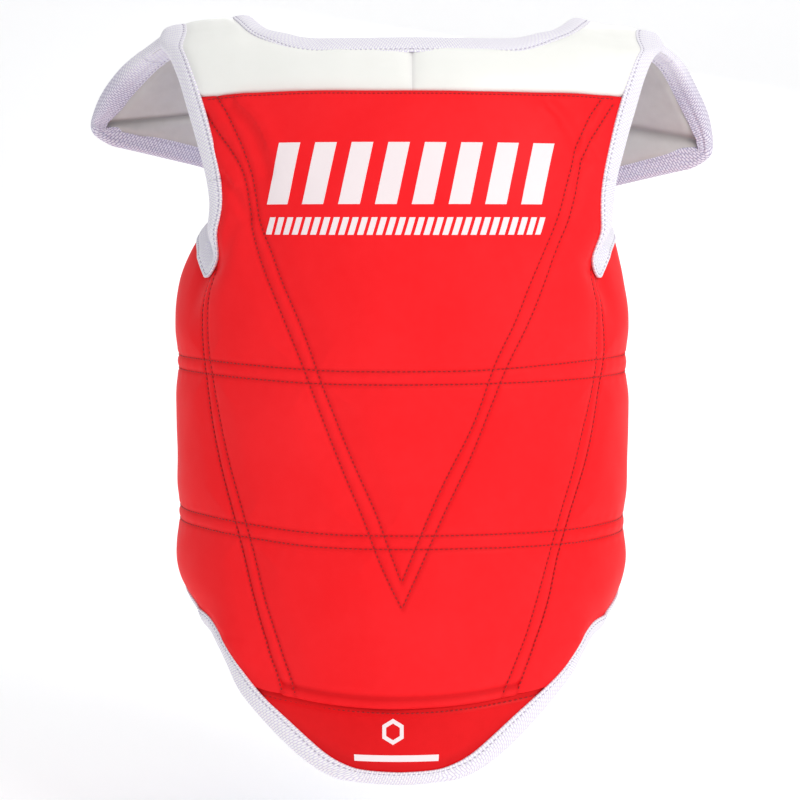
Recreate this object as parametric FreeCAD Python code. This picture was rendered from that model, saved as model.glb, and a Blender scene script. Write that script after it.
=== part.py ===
import FreeCAD, Part
import math
import os

# Padded torso guard: a chest panel with hem panel and yoke, two side wings, two shoulder flaps
# with folded-down tips, and webbing straps and a waist belt at the back.
# Frame: +Z up, the wearer faces -Y, the wearer's left is +X. The origin is on the body axis,
# about level with the hem's lowest point. All sizes are in mm.

V = FreeCAD.Vector
UP = V(0, 0, 1)
os.makedirs("parts", exist_ok=True)

# ---------------------------------------------------------------- driving dimensions
# Trunk
HALF_W = 141.0            # outer half width
HALF_D = 106.0            # outer half depth
CREST_DROP = 10.0         # fall of the shoulder crest towards the arm at x = HALF_W
FLARE = 30.0              # gain of the half width from the straight part to the crest
FLARE_RUN = 160.0         # run of the profile over which that gain builds up
SEAM_H = 406.5            # yoke seam
SEAM_GAP = 0.25           # half gap at the yoke seam and between the yoke halves
HEM_SEAM_Z = 45.0         # folded seam above the hem panel, at the centre
HEM_GAP = 0.5             # half gap at that seam
HEM_HALF_W = 94.0         # half width of the hem panel
CREST_GAP = 0.4           # half gap between yoke and shoulder flap at the crest

# Padding
WALL = 19.1               # cover + foam + lining
COVER = 1.2               # outer cover
LINING = 1.0
GAP = 0.3                 # clearance between layers
FOAM_SLACK = 0.15         # extra room behind the foam
HEM_SLACK = 0.6           # the same behind the hem foam
FOAM_SPLIT = 0.6          # outer foam's share of the chest's foam stack
EDGE_IN = 4.0             # lining rises this much at a bound edge, front
EDGE_OUT_FRONT = 6.0      # cover sinks this much at a bound edge, front
EDGE_OUT_SIDE = 12.0      # and at the sides
EDGE_THIN = 1.0           # both, at the crest and on the shoulder flaps
TAPER = 32.0              # width of that fall
FLAP_TAPER = 20.0         # and on the shoulder flaps

# Side wings
HINGE_X = 127.0           # side fold line between trunk panel and wing
HINGE_GAP = 0.7           # half gap along that line
WING_END_DEG = 156.0      # rear edge of a wing, from the front centre
WING_CORNER = 30.0        # rounding of its rear corners

# Bindings
TAPE = 1.0                # tape thickness
TAPE_LEG = 11.0           # visible leg of the folded tape
FLAP_LEG = 9.0
TIP_LEG = 7.0
WRAP_GAP = 0.8            # room between a bound edge and the turn of its tape
TIP_WRAP_GAP = 0.3
END_BLEND = 9.0           # length over which a tape's end turns parallel to a fold line
TIP_BLEND = 6.0
ARM_FOOT_BLEND = 2.5

# Shoulder flaps
FLAP_T = 11.0             # thickness
FLAP_CROWN = 5.0          # bulge of the flap
TIP_CROWN = 3.0           # bulge of its tip
FOLD_GAP = 0.4            # half gap at the fold line between flap and tip
TIP_R_IN = 15.0           # rounded lower corners of a tip
TIP_R_OUT = 9.5

# Straps, belt and rings
WEB_W = 25.0              # back strap webbing
WEB_T = 1.6               # webbing thickness
BELT_W = 38.0
WEB_OFF = 0.6             # clearance under strap and belt
RING_R = 2.0              # ring wire radius
RING_H = 10.0             # bar to bar
RING_PLAY = 2.5           # ring's inner width over the webbing's width
RUN = 0.1                 # running clearance of a ring bar in its loop
LOOP_T = 1.3              # wall of the loop over a ring bar
TAB_T = 2.8               # doubled webbing of a ring tab
TAB_OFF = 0.9             # clearance under a ring tab
TAB_START = 2.4           # start of a tab's flat part behind the bar axis
STRAP_TAB_EXTRA = 8.0     # strap ring tab's length above its place on the tip
BELT_TAB_L = 35.0         # belt ring tab's length behind the bar
BELT_TAB_CURVE = 146.0    # its curve radius
FLAT_CURVE = 1e9          # curve radius of a tab that lies flat
TIP_TAB_A = 0.15          # ring tab's place on the tip, share of its width
TIP_TAB_B = 0.72          # and share of its height, downwards
RING_BELOW = 14.0         # ring bar below the tip's lower edge
STRAP_DEG = 146.5         # back strap's place on its wing
STRAP_Z0 = 246.0          # sewn end of the strap
STRAP_FREE_Z = 272.0      # the strap leaves the wing's curve here
STRAP_FOLD_GAP = 0.6      # strap's top end beyond the ring's far bar
STRAP_INSET = 2.35        # shift towards the body of the strap's top end
HOOK_Z0 = 268.0           # lower end of the tab lying on the strap
HOOK_SHORT = 0.5          # a hook tab stops this much before its webbing's end
BELT_Z = 208.0
BELT_FROM_DEG = 128.0     # sewn end of the belt on the left wing
BELT_BAR_DEG = 160.2      # belt ring's fixed bar, from the front centre round the right side
BELT_END_GAP = 0.8        # belt's end beyond the ring's far bar
BELT_HOOK_L = 62.0        # reach of the belt's hook tab back from the belt's end
BELT_HOOK_INSET = 1.0     # hook tab is narrower by this at each long edge

# Trunk profile at the centre line above the straight part: y, z
PROFILE = [
    (-106.0, 300.0), (-104.6, 330.0), (-98.5, 366.0), (-85.0, 404.0), (-74.0, 424.0),
    (-60.0, 441.0), (-42.0, 452.8), (-21.0, 459.6), (0.0, 461.0)]
# Heights h below are run lengths along this profile, equal to z on the straight part.
# Armhole edge: h, x
ARMHOLE = [
    (307.0, 120.6), (314.5, 119.9), (330.0, 118.6), (342.0, 118.6), (361.5, 121.0),
    (378.0, 124.0), (393.0, 127.0), (408.0, 130.5), (421.5, 134.0), (434.5, 137.8),
    (447.0, 141.5), (460.0, 145.5), (480.0, 149.5), (500.0, 151.5), (516.5, 152.0)]
# Neck edge: x, h
NECK = [
    (0.0, 451.2), (30.0, 451.0), (50.0, 451.4), (66.0, 453.5), (77.0, 460.0),
    (85.5, 469.0), (93.0, 484.0), (97.5, 500.0), (99.0, 516.5)]
# Hem edge: x, z
HEM = [
    (0.0, 0.6), (15.0, 1.2), (30.0, 3.2), (47.0, 10.0), (66.0, 23.0), (86.7, 40.5),
    (101.5, 56.5), (112.0, 70.0), (120.0, 77.6), (127.0, 80.5)]
# Wing edges: degrees from front, z
WING_TOP = [
    (64.26, 305.4), (66.0, 305.9), (70.0, 308.5), (80.0, 318.5), (90.0, 325.0),
    (102.0, 325.0), (115.0, 318.0), (130.0, 307.0), (145.0, 298.5), (156.0, 294.0)]
WING_BOTTOM = [
    (64.26, 80.7), (70.0, 84.0), (80.0, 88.0), (90.0, 90.5), (110.0, 94.0),
    (130.0, 98.0), (156.0, 104.0)]
# Shoulder flap's inner and outer edges from the crest to the fold: x, y, z
FLAP_IN = [
    (99.0, 0.4, 456.07), (98.3, 8.0, 456.0), (92.5, 30.0, 452.5), (80.0, 62.0, 435.0),
    (68.0, 85.0, 408.0)]
FLAP_OUT = [
    (152.0, 0.4, 449.38), (154.3, 7.0, 448.3), (163.5, 17.0, 441.5), (175.5, 28.0, 430.0),
    (187.0, 40.0, 417.0), (196.0, 51.0, 403.5), (200.5, 60.0, 391.5)]
# Tip's inner and outer edges from the fold down: x, y, z
TIP_IN = [(68.0, 85.0, 408.0), (61.5, 93.0, 374.0), (57.0, 96.5, 342.0)]
TIP_OUT = [(200.5, 60.0, 391.5), (200.5, 63.0, 383.0), (196.0, 66.0, 376.0)]


# ---------------------------------------------------------------- numbers and curves
def clamp(x):
    return min(max(x, 0.0), 1.0)


def ease(x):
    """Smooth rise from 0 to 1 as x goes from 0 to 1."""
    x = clamp(x)
    return x * x * (3 - 2 * x)


def blend(start, end, weight):
    return start * (1 - weight) + end * weight


def spaced(start, end, count):
    """Evenly spaced values, both ends included."""
    return [start + (end - start) * k / (count - 1.0) for k in range(count)]


def unit(vector):
    result = V(vector)
    result.normalize()
    return result


def interpolate(xs, ys, x):
    """Straight-line interpolation in a rising table."""
    low, high = 0, len(xs) - 1
    while high - low > 1:
        middle = (low + high) // 2
        if xs[middle] <= x:
            low = middle
        else:
            high = middle
    return ys[low] + (ys[high] - ys[low]) * (x - xs[low]) / (xs[high] - xs[low])


def spline(xs, ys):
    """Natural cubic spline through a table, carried on straight beyond its ends."""
    last = len(xs) - 1
    span = [xs[i + 1] - xs[i] for i in range(last)]
    ratio = [0.0] * last
    carry = [0.0] * last
    quad = [0.0] * (last + 1)
    for i in range(1, last):
        bend = 3 * ((ys[i + 1] - ys[i]) / span[i] - (ys[i] - ys[i - 1]) / span[i - 1])
        pivot = 2 * (xs[i + 1] - xs[i - 1]) - span[i - 1] * ratio[i - 1]
        ratio[i] = span[i] / pivot
        carry[i] = (bend - span[i - 1] * carry[i - 1]) / pivot
    for i in range(last - 1, 0, -1):
        quad[i] = carry[i] - ratio[i] * quad[i + 1]
    slope = [(ys[i + 1] - ys[i]) / span[i] - span[i] * (quad[i + 1] + 2 * quad[i]) / 3
             for i in range(last)]
    cubic = [(quad[i + 1] - quad[i]) / (3 * span[i]) for i in range(last)]
    end_slope = slope[-1] + 2 * quad[last - 1] * span[-1] + 3 * cubic[-1] * span[-1] ** 2

    def value(x):
        if x <= xs[0]:
            return ys[0] + slope[0] * (x - xs[0])
        if x >= xs[-1]:
            return ys[-1] + end_slope * (x - xs[-1])
        k = 0
        while x > xs[k + 1]:
            k += 1
        past = x - xs[k]
        return ys[k] + past * (slope[k] + past * (quad[k] + past * cubic[k]))

    return value


def spline_of(table):
    """Spline of a table's second column over its first."""
    return spline([row[0] for row in table], [row[1] for row in table])


def run_lengths(points, start=0.0):
    runs = [start]
    for point, following in zip(points, points[1:]):
        runs.append(runs[-1] + math.dist(point, following))
    return runs


def length_shares(points):
    runs = run_lengths(points)
    return [run / runs[-1] for run in runs]


def smooth_path(points):
    """Smooth curve through points of any dimension, by share of its length."""
    shares = length_shares(points)
    splines = [spline(shares, column) for column in zip(*points)]
    return lambda share: tuple(value(share) for value in splines)


def straight_path(points):
    """The same with straight pieces."""
    shares = length_shares(points)
    columns = list(zip(*points))
    return lambda share: tuple(interpolate(shares, column, share) for column in columns)


def sample(curve, count):
    return [curve(share) for share in spaced(0.0, 1.0, count)]


def mirrored(half):
    """Full run of points from the -X side to the +X side; half starts at the centre."""
    return [(-x, height) for x, height in half[::-1]] + half[1:]


def coons(bottom, top, left, right, columns, rows):
    """Grid of parameter pairs filled in between four boundary curves."""
    b0, b1, t0, t1 = bottom(0), bottom(1), top(0), top(1)
    grid = []
    for u in spaced(0.0, 1.0, columns):
        line = []
        for v in spaced(0.0, 1.0, rows):
            sides = bottom(u), top(u), left(v), right(v)
            line.append(tuple(
                (1 - v) * sides[0][k] + v * sides[1][k]
                + (1 - u) * sides[2][k] + u * sides[3][k]
                - ((1 - u) * (1 - v) * b0[k] + u * (1 - v) * b1[k]
                   + (1 - u) * v * t0[k] + u * v * t1[k])
                for k in (0, 1)))
        grid.append(line)
    return grid


# ---------------------------------------------------------------- outer surfaces
# Each surface maps two parameters, across and along, to a point.
STRAIGHT_H = PROFILE[0][1]      # the trunk is an upright elliptic wall up to here
profile_runs = run_lengths(PROFILE, STRAIGHT_H)
profile_y = spline(profile_runs, [y for y, z in PROFILE])
profile_z = spline(profile_runs, [z for y, z in PROFILE])
CREST_H = profile_runs[-1]
CREST_EDGE = CREST_H - CREST_GAP


def trunk(x, h):
    """Trunk panel and yoke."""
    if h <= STRAIGHT_H:
        lean, z, half_width = 0.0, h, HALF_W
    else:
        lean = 1 + profile_y(h) / HALF_D
        z = profile_z(h)
        half_width = HALF_W + FLARE * min((h - STRAIGHT_H) / FLARE_RUN, 1.0)
    ratio = min(abs(x) / half_width, 0.995)
    y = -(1 - lean) * HALF_D * math.sqrt(1 - ratio * ratio)
    return V(x, y, z - CREST_DROP * lean * (x / HALF_W) ** 2)


def arc_rate(angle):
    """Arc length of the trunk ellipse per radian."""
    return math.hypot(HALF_W * math.cos(angle), HALF_D * math.sin(angle))


# Arc length round the ellipse, counted from the left side fold line towards the back
HINGE_ANGLE = math.asin(HINGE_X / HALF_W)
arc_angles = spaced(HINGE_ANGLE, 2 * math.pi, 1001)
arc_lengths = [0.0]
for before, after in zip(arc_angles, arc_angles[1:]):
    arc_lengths.append(arc_lengths[-1] + arc_rate(0.5 * (before + after)) * (after - before))


def arc_at(degrees):
    return interpolate(arc_angles, arc_lengths, math.radians(degrees))


def girdle(arc, z):
    """Side wings, carried on round the back."""
    if arc <= 0:
        angle = HINGE_ANGLE + arc / arc_rate(HINGE_ANGLE)
    else:
        angle = interpolate(arc_lengths, arc_angles, arc)
    return V(HALF_W * math.sin(angle), -HALF_D * math.cos(angle), z)


def girdle_normal(point):
    return unit(V(point.x / HALF_W ** 2, point.y / HALF_D ** 2, 0))


flap_in, flap_out = smooth_path(FLAP_IN), smooth_path(FLAP_OUT)
tip_in, tip_out = smooth_path(TIP_IN), smooth_path(TIP_OUT)


def flap(across, along):
    """Left shoulder flap: across from neck to arm, along from crest to fold."""
    arch = math.sin(math.pi * clamp(across)) * math.sin(math.pi * clamp(along))
    flat = blend(V(*flap_in(along)), V(*flap_out(along)), across)
    return flat + V(0, 0.75, 0.66) * (FLAP_CROWN * arch)


def tip(across, along):
    """Left flap tip: along from the fold down."""
    arch = math.sin(math.pi * clamp(across)) * clamp(along)
    flat = blend(V(*tip_in(along)), V(*tip_out(along)), across)
    return flat + V(0, 1, 0) * (TIP_CROWN * arch)


# ---------------------------------------------------------------- padded sheets
class Sheet:
    """A padded layer stack under an outer surface, thinning towards its bound edges.

    section(point) gives the full wall, the cover's sink and the lining's rise at an edge.
    adjust(across, along, normal) may bend the direction in which depth is measured.
    """

    def __init__(self, surface, section, taper=TAPER, delta=0.4, adjust=None):
        self.surface, self.section, self.taper = surface, section, taper
        self.delta, self.adjust = delta, adjust
        self.edges = []
        self.known = {}

    def add_edge(self, params):
        self.edges += [tuple(self.surface(*pair)) for pair in params]

    def edge_distance(self, point):
        x, y, z = point
        return math.sqrt(min((a - x) * (a - x) + (b - y) * (b - y) + (c - z) * (c - z)
                             for a, b, c in self.edges))

    def skins(self, point, distance):
        """Depths of the cover's outer face and the lining's inner face."""
        fall = (1 - min(distance / self.taper, 1.0)) ** 2
        wall, sink, rise = self.section(point)
        return sink * fall, wall - rise * fall

    def tangents(self, across, along):
        surface, delta = self.surface, self.delta
        scale = 0.5 / delta
        return ((surface(across + delta, along) - surface(across - delta, along)) * scale,
                (surface(across, along + delta) - surface(across, along - delta)) * scale)

    def raw_normal(self, across, along):
        first, second = self.tangents(across, along)
        return unit(first.cross(second))

    def normal(self, across, along):
        normal = self.raw_normal(across, along)
        if self.adjust:
            normal = unit(self.adjust(across, along, normal))
        return normal

    def station(self, pair):
        """Outer point, normal and layer depths, kept because the layers share grids."""
        if pair not in self.known:
            point = self.surface(*pair)
            top, low = self.skins(point, self.edge_distance(point))
            self.known[pair] = (point, self.normal(*pair), layer_depths(top, low))
        return self.known[pair]


def layer_depths(top, low):
    """Outer and inner depth of each layer between the skins."""
    foam_top = top + COVER + GAP
    foam_low = low - LINING - GAP
    split = foam_top + (foam_low - foam_top) * FOAM_SPLIT
    return {
        "cover": (top, top + COVER),
        "foam": (foam_top, foam_low - FOAM_SLACK),
        "foam_outer": (foam_top, split - GAP / 2),
        "foam_inner": (split + GAP / 2, foam_low - FOAM_SLACK),
        "hem_foam": (foam_top, foam_low - HEM_SLACK),
        "lining": (low - LINING, low),
    }


# ---------------------------------------------------------------- solids
def closed(faces):
    shell = Part.makeShell(faces)
    shell.sewShape()
    # sewing may wrap the shell in a compound
    if shell.ShapeType != "Shell":
        shell = shell.Shells[0]
    solid = Part.Solid(shell)
    if solid.Volume < 0:
        solid.reverse()
    return solid


def surface_and_borders(grid):
    surface = Part.BSplineSurface()
    surface.interpolate(grid)
    u0, u1, v0, v1 = surface.bounds()
    borders = [surface.uIso(u0), surface.uIso(u1), surface.vIso(v0), surface.vIso(v1)]
    return surface.toShape(), [border.toShape() for border in borders]


def slab(outer_grid, inner_grid):
    """Solid between two point grids that share their layout."""
    outer, outer_borders = surface_and_borders(outer_grid)
    inner, inner_borders = surface_and_borders(inner_grid)
    faces = [outer, inner]
    for first, second in zip(outer_borders, inner_borders):
        faces.append(Part.makeRuledSurface(first, second, 1))
    return closed(faces)


def layer(sheet, grid, kind):
    """One layer of a sheet over a grid of surface parameters."""
    def offset_grid(side):
        rows = []
        for line in grid:
            stations = [sheet.station(pair) for pair in line]
            rows.append([point - normal * depths[kind][side]
                         for point, normal, depths in stations])
        return rows

    return slab(offset_grid(0), offset_grid(1))


# quads that split a tape section for its end caps
TAPE_QUADS = [(0, 1, 10, 11), (1, 2, 9, 10), (2, 3, 8, 9), (3, 4, 7, 8), (4, 5, 6, 7)]


def tape_solid(sections):
    """Solid through a list of tape sections."""
    edges = []
    for line in zip(*sections):
        curve = Part.BSplineCurve()
        curve.interpolate(list(line))
        edges.append(curve.toShape())
    count = len(edges)
    faces = [Part.makeRuledSurface(edges[k], edges[(k + 1) % count], 1) for k in range(count)]
    for end in (sections[0], sections[-1]):
        for a, b, c, d in TAPE_QUADS:
            faces.append(Part.makeRuledSurface(Part.makeLine(end[a], end[b]),
                                               Part.makeLine(end[d], end[c]), 1))
    return closed(faces)


def tape_section(sheet, pair, outward, leg, proud, gap):
    """Twelve points of a folded tape's section round the edge point at pair."""
    across, along = pair
    edge_point = sheet.surface(across, along)
    edge_normal = sheet.normal(across, along)
    # surface parameters of a unit step outwards
    first, second = sheet.tangents(across, along)
    g11, g12, g22 = first.dot(first), first.dot(second), second.dot(second)
    along_first, along_second = outward.dot(first), outward.dot(second)
    det = g11 * g22 - g12 * g12
    step_across = (g22 * along_first - g12 * along_second) / det
    step_along = (g11 * along_second - g12 * along_first) / det

    def corner(out, skin, offset):
        """Point at a distance out of the edge, off the outer (0) or inner (1) skin."""
        if out <= 0:
            place = (across + step_across * out, along + step_along * out)
            point, normal = sheet.surface(*place), sheet.normal(*place)
        else:
            point, normal = edge_point + outward * out, edge_normal
        top, low = sheet.skins(edge_point, max(-out, 0.0))
        return point - normal * (low + offset if skin else top - offset)

    outside = (-leg, -leg / 2, gap + TAPE)
    inside = (-leg, -leg / 2, gap)
    return ([corner(out, 0, proud + TAPE) for out in outside]
            + [corner(out, 1, proud + TAPE) for out in outside[::-1]]
            + [corner(out, 1, proud) for out in inside]
            + [corner(out, 0, proud) for out in inside[::-1]])


def binding(sheet, params, side, ends, leg=TAPE_LEG, proud=0.5, gap=WRAP_GAP):
    """Folded tape over a bound edge.

    params run along the edge, and side is +1 or -1 for the way out of the sheet.
    ends gives for both ends the parameter direction (0 across, 1 along) of the fold line
    there and the length over which the section turns to lie along it.
    proud is the tape's clearance over the skins, a number or a function of the parameters.
    """
    points = [sheet.surface(*pair) for pair in params]
    runs = run_lengths(points)
    last = len(params) - 1
    sections = []
    for i, pair in enumerate(params):
        normal = sheet.normal(*pair)
        tangent = unit(points[min(i + 1, last)] - points[max(i - 1, 0)])
        outward = unit(tangent.cross(normal) * side)
        for (direction, reach), far in zip(ends, (runs[i], runs[-1] - runs[i])):
            if far < reach:
                fold = sheet.tangents(*pair)[direction]
                fold = unit(fold - normal * fold.dot(normal))
                if fold.dot(outward) < 0:
                    fold = fold * -1
                outward = unit(blend(outward, fold, 1 - ease(far / reach)))
        clearance = proud(*pair) if callable(proud) else proud
        sections.append(tape_section(sheet, pair, outward, leg, clearance, gap))
    return tape_solid(sections)


def save(name, shape):
    shape.exportStep(os.path.join("parts", name + ".step"))


def save_pair(name, shape):
    """Save a left piece and its mirror image on the right."""
    save(name + "_left", shape)
    save(name + "_right", shape.mirror(V(0, 0, 0), V(1, 0, 0)))


def save_padded_pair(name, sheet, grid):
    for kind in ("cover", "foam", "lining"):
        save_pair(name + "_" + kind, layer(sheet, grid, kind))


# ---------------------------------------------------------------- trunk sheet and its outlines
PANEL_X = HINGE_X - HINGE_GAP       # side edge of the trunk panel
arm_x = spline_of(ARMHOLE)
neck_path = smooth_path(NECK)
hem_z = spline_of(HEM)


def hem_seam(x):
    return HEM_SEAM_Z + 6.0 * (x / 77.0) ** 2


# armhole edge from the crest down to the side fold line, rounded into it: x, h
arm_heights = [CREST_EDGE] + [CREST_H - 16.5 * k for k in range(1, 13)] + [312.0]
arm_path = smooth_path(
    [(arm_x(h), h) for h in arm_heights]
    + [(120.9, 308.6), (122.4, 306.4), (124.4, 305.4), (PANEL_X, 305.3)])


def trunk_section(point):
    """Padding law: side edges sink deeper, and the crest thins to the flap's thickness."""
    side = ease((abs(point.x) - 92) / 34.0) * ease((330 - point.z) / 40.0)
    crest = ease((point.y + 48.0) / 46.0) * ease((point.z - 400.0) / 30.0)
    return (blend(WALL, FLAP_T, crest),
            blend(blend(EDGE_OUT_FRONT, EDGE_OUT_SIDE, side), EDGE_THIN, crest),
            blend(EDGE_IN * (1 - side), EDGE_THIN, crest))


def level_at_crest(x, h, normal):
    """Take the y part out of the normals at the crest, so the end faces stand upright."""
    weight = ease((trunk(x, h).y + 16.0) / 15.0) if h > 400 else 0.0
    return V(normal.x, normal.y * (1 - weight), normal.z)


trunk_sheet = Sheet(trunk, trunk_section, adjust=level_at_crest)
trunk_edges = (sample(arm_path, 211) + sample(neck_path, 131)
               + [(x, hem_z(x)) for x in spaced(0.0, PANEL_X, 131)])
for sign in (1, -1):
    trunk_sheet.add_edge([(sign * x, h) for x, h in trunk_edges])

# chest panel's lower edge: the hem seam, stepping down to the hem edge at the sides
CHEST_LOW = SEAM_H - SEAM_GAP
chest_bottom = smooth_path(mirrored(
    [(x, hem_seam(x) + HEM_GAP) for x in (0, 18, 36, 52, 66, 78, 88, 93.5)]
    + [(97.0, hem_z(97.0) + 2.55), (100.0, hem_z(100.0) + 0.7)]
    + [(x, hem_z(x)) for x in (102.5, 106, 112, 120, PANEL_X)]))
# its side edge: the fold line, the rounded foot of the armhole, then the armhole
chest_side = smooth_path(
    [(PANEL_X, hem_z(PANEL_X) + rise) for rise in (0, 6, 20, 50, 90, 130, 170, 200, 212)]
    + [(PANEL_X, 299.0), (PANEL_X, 301.6)]
    + [(126.0, 303.9), (124.2, 305.0), (122.4, 306.4), (120.9, 308.6), (120.0, 313.0)]
    + [(arm_x(h), h) for h in (322.0, 332.0, 345.0, 360.0, 375.0, 390.0, CHEST_LOW)])
hem_path = smooth_path(mirrored(
    [(x, hem_z(x))
     for x in (0, 15, 26, 36, 46, 56, 66, 76, 86, 95, 104, 112, 120, PANEL_X)]))


def chest_top(share):
    return (2 * share - 1) * arm_x(SEAM_H), CHEST_LOW


def chest_right_side(share):
    x, height = chest_side(share)
    return -x, height


def panel_grid(bottom):
    return coons(bottom, chest_top, chest_right_side, chest_side, columns=49, rows=44)


# ---------------------------------------------------------------- chest and hem
chest_grid = panel_grid(chest_bottom)
for kind in ("cover", "foam_outer", "foam_inner"):
    save("chest_" + kind, layer(trunk_sheet, chest_grid, kind))

hem_grid = [[(x, z) for z in spaced(hem_z(abs(x)), hem_seam(x) - HEM_GAP, 9)]
            for x in spaced(-HEM_HALF_W, HEM_HALF_W, 37)]
save("hem_cover", layer(trunk_sheet, hem_grid, "cover"))
save("hem_foam", layer(trunk_sheet, hem_grid, "hem_foam"))

# one lining backs chest and hem together
save("torso_lining", layer(trunk_sheet, panel_grid(hem_path), "lining"))

# ---------------------------------------------------------------- yoke halves
# outer border: along the yoke seam, round the corner, up the armhole to the crest
YOKE_LOW = SEAM_H + SEAM_GAP
yoke_outer = smooth_path(
    [(x, YOKE_LOW) for x in (SEAM_GAP, 15, 32, 50, 70, 90, 108, 118)]
    + [(123.5, SEAM_H + 0.3), (127.5, SEAM_H + 1.2), (130.2, SEAM_H + 3.6),
       (131.4, SEAM_H + 7.0)]
    + [(arm_x(h), h) for h in (420, 430, 440, 452, 464, 478, 492, 505, CREST_EDGE)])
yoke_inner = smooth_path(
    [(SEAM_GAP, NECK[0][1])] + NECK[1:-1] + [(NECK[-1][0], CREST_EDGE)])


def yoke_ray(share):
    """Row of the fan from the neck edge to the outer border."""
    neck, border = yoke_inner(share ** 0.95), yoke_outer(share)
    return [(blend(neck[0], border[0], v), blend(neck[1], border[1], v))
            for v in spaced(0.0, 1.0, 14)]


save_padded_pair("yoke", trunk_sheet, [yoke_ray(share) for share in spaced(0.0, 1.0, 46)])

# ---------------------------------------------------------------- trunk bindings
ACROSS_END, ALONG_END = (0, END_BLEND), (1, END_BLEND)

neck_half = sample(neck_path, 31)
neck_half[-1] = (neck_half[-1][0], CREST_EDGE)
save("neck_binding", binding(
    trunk_sheet, mirrored(neck_half), -1, ends=(ACROSS_END, ACROSS_END),
    proud=lambda x, h: 0.6 + 0.6 * ease((abs(x) - 60) / 20)))
save_pair("armhole_binding", binding(
    trunk_sheet, sample(arm_path, 61), -1, ends=(ACROSS_END, (1, ARM_FOOT_BLEND)), proud=0.7))
save("hem_binding", binding(
    trunk_sheet, sample(hem_path, 81), 1, ends=(ALONG_END, ALONG_END),
    proud=lambda x, z: 0.6 + 1.9 * ease((abs(x) - 88) / 14)))

# ---------------------------------------------------------------- side wings
wing_end = arc_at(WING_END_DEG)
wing_top = spline_of([(arc_at(degrees), z) for degrees, z in WING_TOP])
wing_bottom = spline_of([(arc_at(degrees), z) for degrees, z in WING_BOTTOM])

# columns: arc length, bottom z, top z; the last nine round the rear corners
wing_columns = [(arc, wing_bottom(arc), wing_top(arc))
                for arc in spaced(HINGE_GAP, wing_end - WING_CORNER, 34)]
for turn in spaced(0.0, math.pi / 2, 10)[1:]:
    arc = wing_end - WING_CORNER * (1 - math.sin(turn))
    inset = WING_CORNER * (1 - math.cos(turn))
    wing_columns.append((arc, wing_bottom(arc) + inset, wing_top(arc) - inset))

rear_bottom, rear_top = wing_columns[-1][1:]
wing_path = smooth_path(
    [(arc, top) for arc, bottom, top in wing_columns]
    + [(wing_end, z) for z in spaced(rear_top, rear_bottom, 25)[1:-1]]
    + [(arc, bottom) for arc, bottom, top in wing_columns[::-1]])

wing_sheet = Sheet(girdle, lambda point: (WALL, EDGE_OUT_SIDE, 0.0))
wing_sheet.add_edge(sample(wing_path, 701))
save_padded_pair("wing", wing_sheet,
                 [[(arc, z) for z in spaced(bottom, top, 30)]
                  for arc, bottom, top in wing_columns])
save_pair("wing_binding", binding(
    wing_sheet, sample(wing_path, 111), -1, ends=(ALONG_END, ALONG_END), proud=0.6))


# ---------------------------------------------------------------- shoulder flap sheets
def flap_section(point):
    return FLAP_T, EDGE_THIN, EDGE_THIN


def fold_normal(across):
    """Mean direction of flap and tip at the fold line, so that both end on one plane."""
    return unit(flap_sheet.raw_normal(across, 0.999) + tip_sheet.raw_normal(across, 0.001))


def adjust_flap(across, along, normal):
    """Level at the crest like the yoke, and shared with the tip at the fold."""
    level = ease((0.16 - along) / 0.15)
    normal = unit(V(normal.x, normal.y * (1 - level), normal.z))
    return blend(normal, fold_normal(across), ease((along - 0.8) / 0.19))


def adjust_tip(across, along, normal):
    return blend(normal, fold_normal(across), ease((0.3 - along) / 0.28))


flap_sheet = Sheet(flap, flap_section, taper=FLAP_TAPER, delta=0.004, adjust=adjust_flap)
tip_sheet = Sheet(tip, flap_section, taper=FLAP_TAPER, delta=0.004, adjust=adjust_tip)

# ---------------------------------------------------------------- shoulder flaps
for side_share in (0, 1):
    flap_sheet.add_edge([(side_share, along) for along in spaced(0.0, 1.0, 141)])
flap_end = 1 - FOLD_GAP / (flap(0, 1) - flap(0, 0)).Length
save_padded_pair("flap", flap_sheet,
                 [[(across, along) for along in spaced(0.0, flap_end, 18)]
                  for across in spaced(0.0, 1.0, 18)])
for name, side_share, side in (("outer", 1, 1), ("inner", 0, -1)):
    save_pair("flap_binding_" + name, binding(
        flap_sheet, [(side_share, along) for along in spaced(0.0, flap_end, 29)], side,
        ends=(ACROSS_END, ACROSS_END), leg=FLAP_LEG))

# ---------------------------------------------------------------- flap tips
tip_width = (tip(1, 1) - tip(0, 1)).Length
tip_height_in = (tip(0, 1) - tip(0, 0)).Length
tip_height_out = (tip(1, 1) - tip(1, 0)).Length


def tip_start(across):
    """Height share at which the tip begins, clear of the fold line."""
    return FOLD_GAP / blend(tip_height_in, tip_height_out, across)


# lower edge from the inner side to the outer, with rounded corners: across, along
round_in, rise_in = TIP_R_IN / tip_width, TIP_R_IN / tip_height_in
round_out, rise_out = TIP_R_OUT / tip_width, TIP_R_OUT / tip_height_out
quarter = spaced(0.0, math.pi / 2, 9)
tip_lower = (
    [(round_in * (1 - math.cos(turn)), 1 - rise_in * (1 - math.sin(turn)))
     for turn in quarter]
    + [(across, 1.0) for across in spaced(round_in, 1 - round_out, 17)[1:-1]]
    + [(1 - round_out * (1 - math.sin(turn)), 1 - rise_out * (1 - math.cos(turn)))
       for turn in quarter])
tip_edge = (
    [(0.0, along) for along in spaced(tip_start(0), tip_lower[0][1], 9)[:-1]]
    + tip_lower
    + [(1.0, along) for along in spaced(tip_lower[-1][1], tip_start(1), 5)[1:]])
tip_sheet.add_edge(tip_edge)
tip_sheet.add_edge(sample(straight_path(tip_edge), 321))

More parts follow.
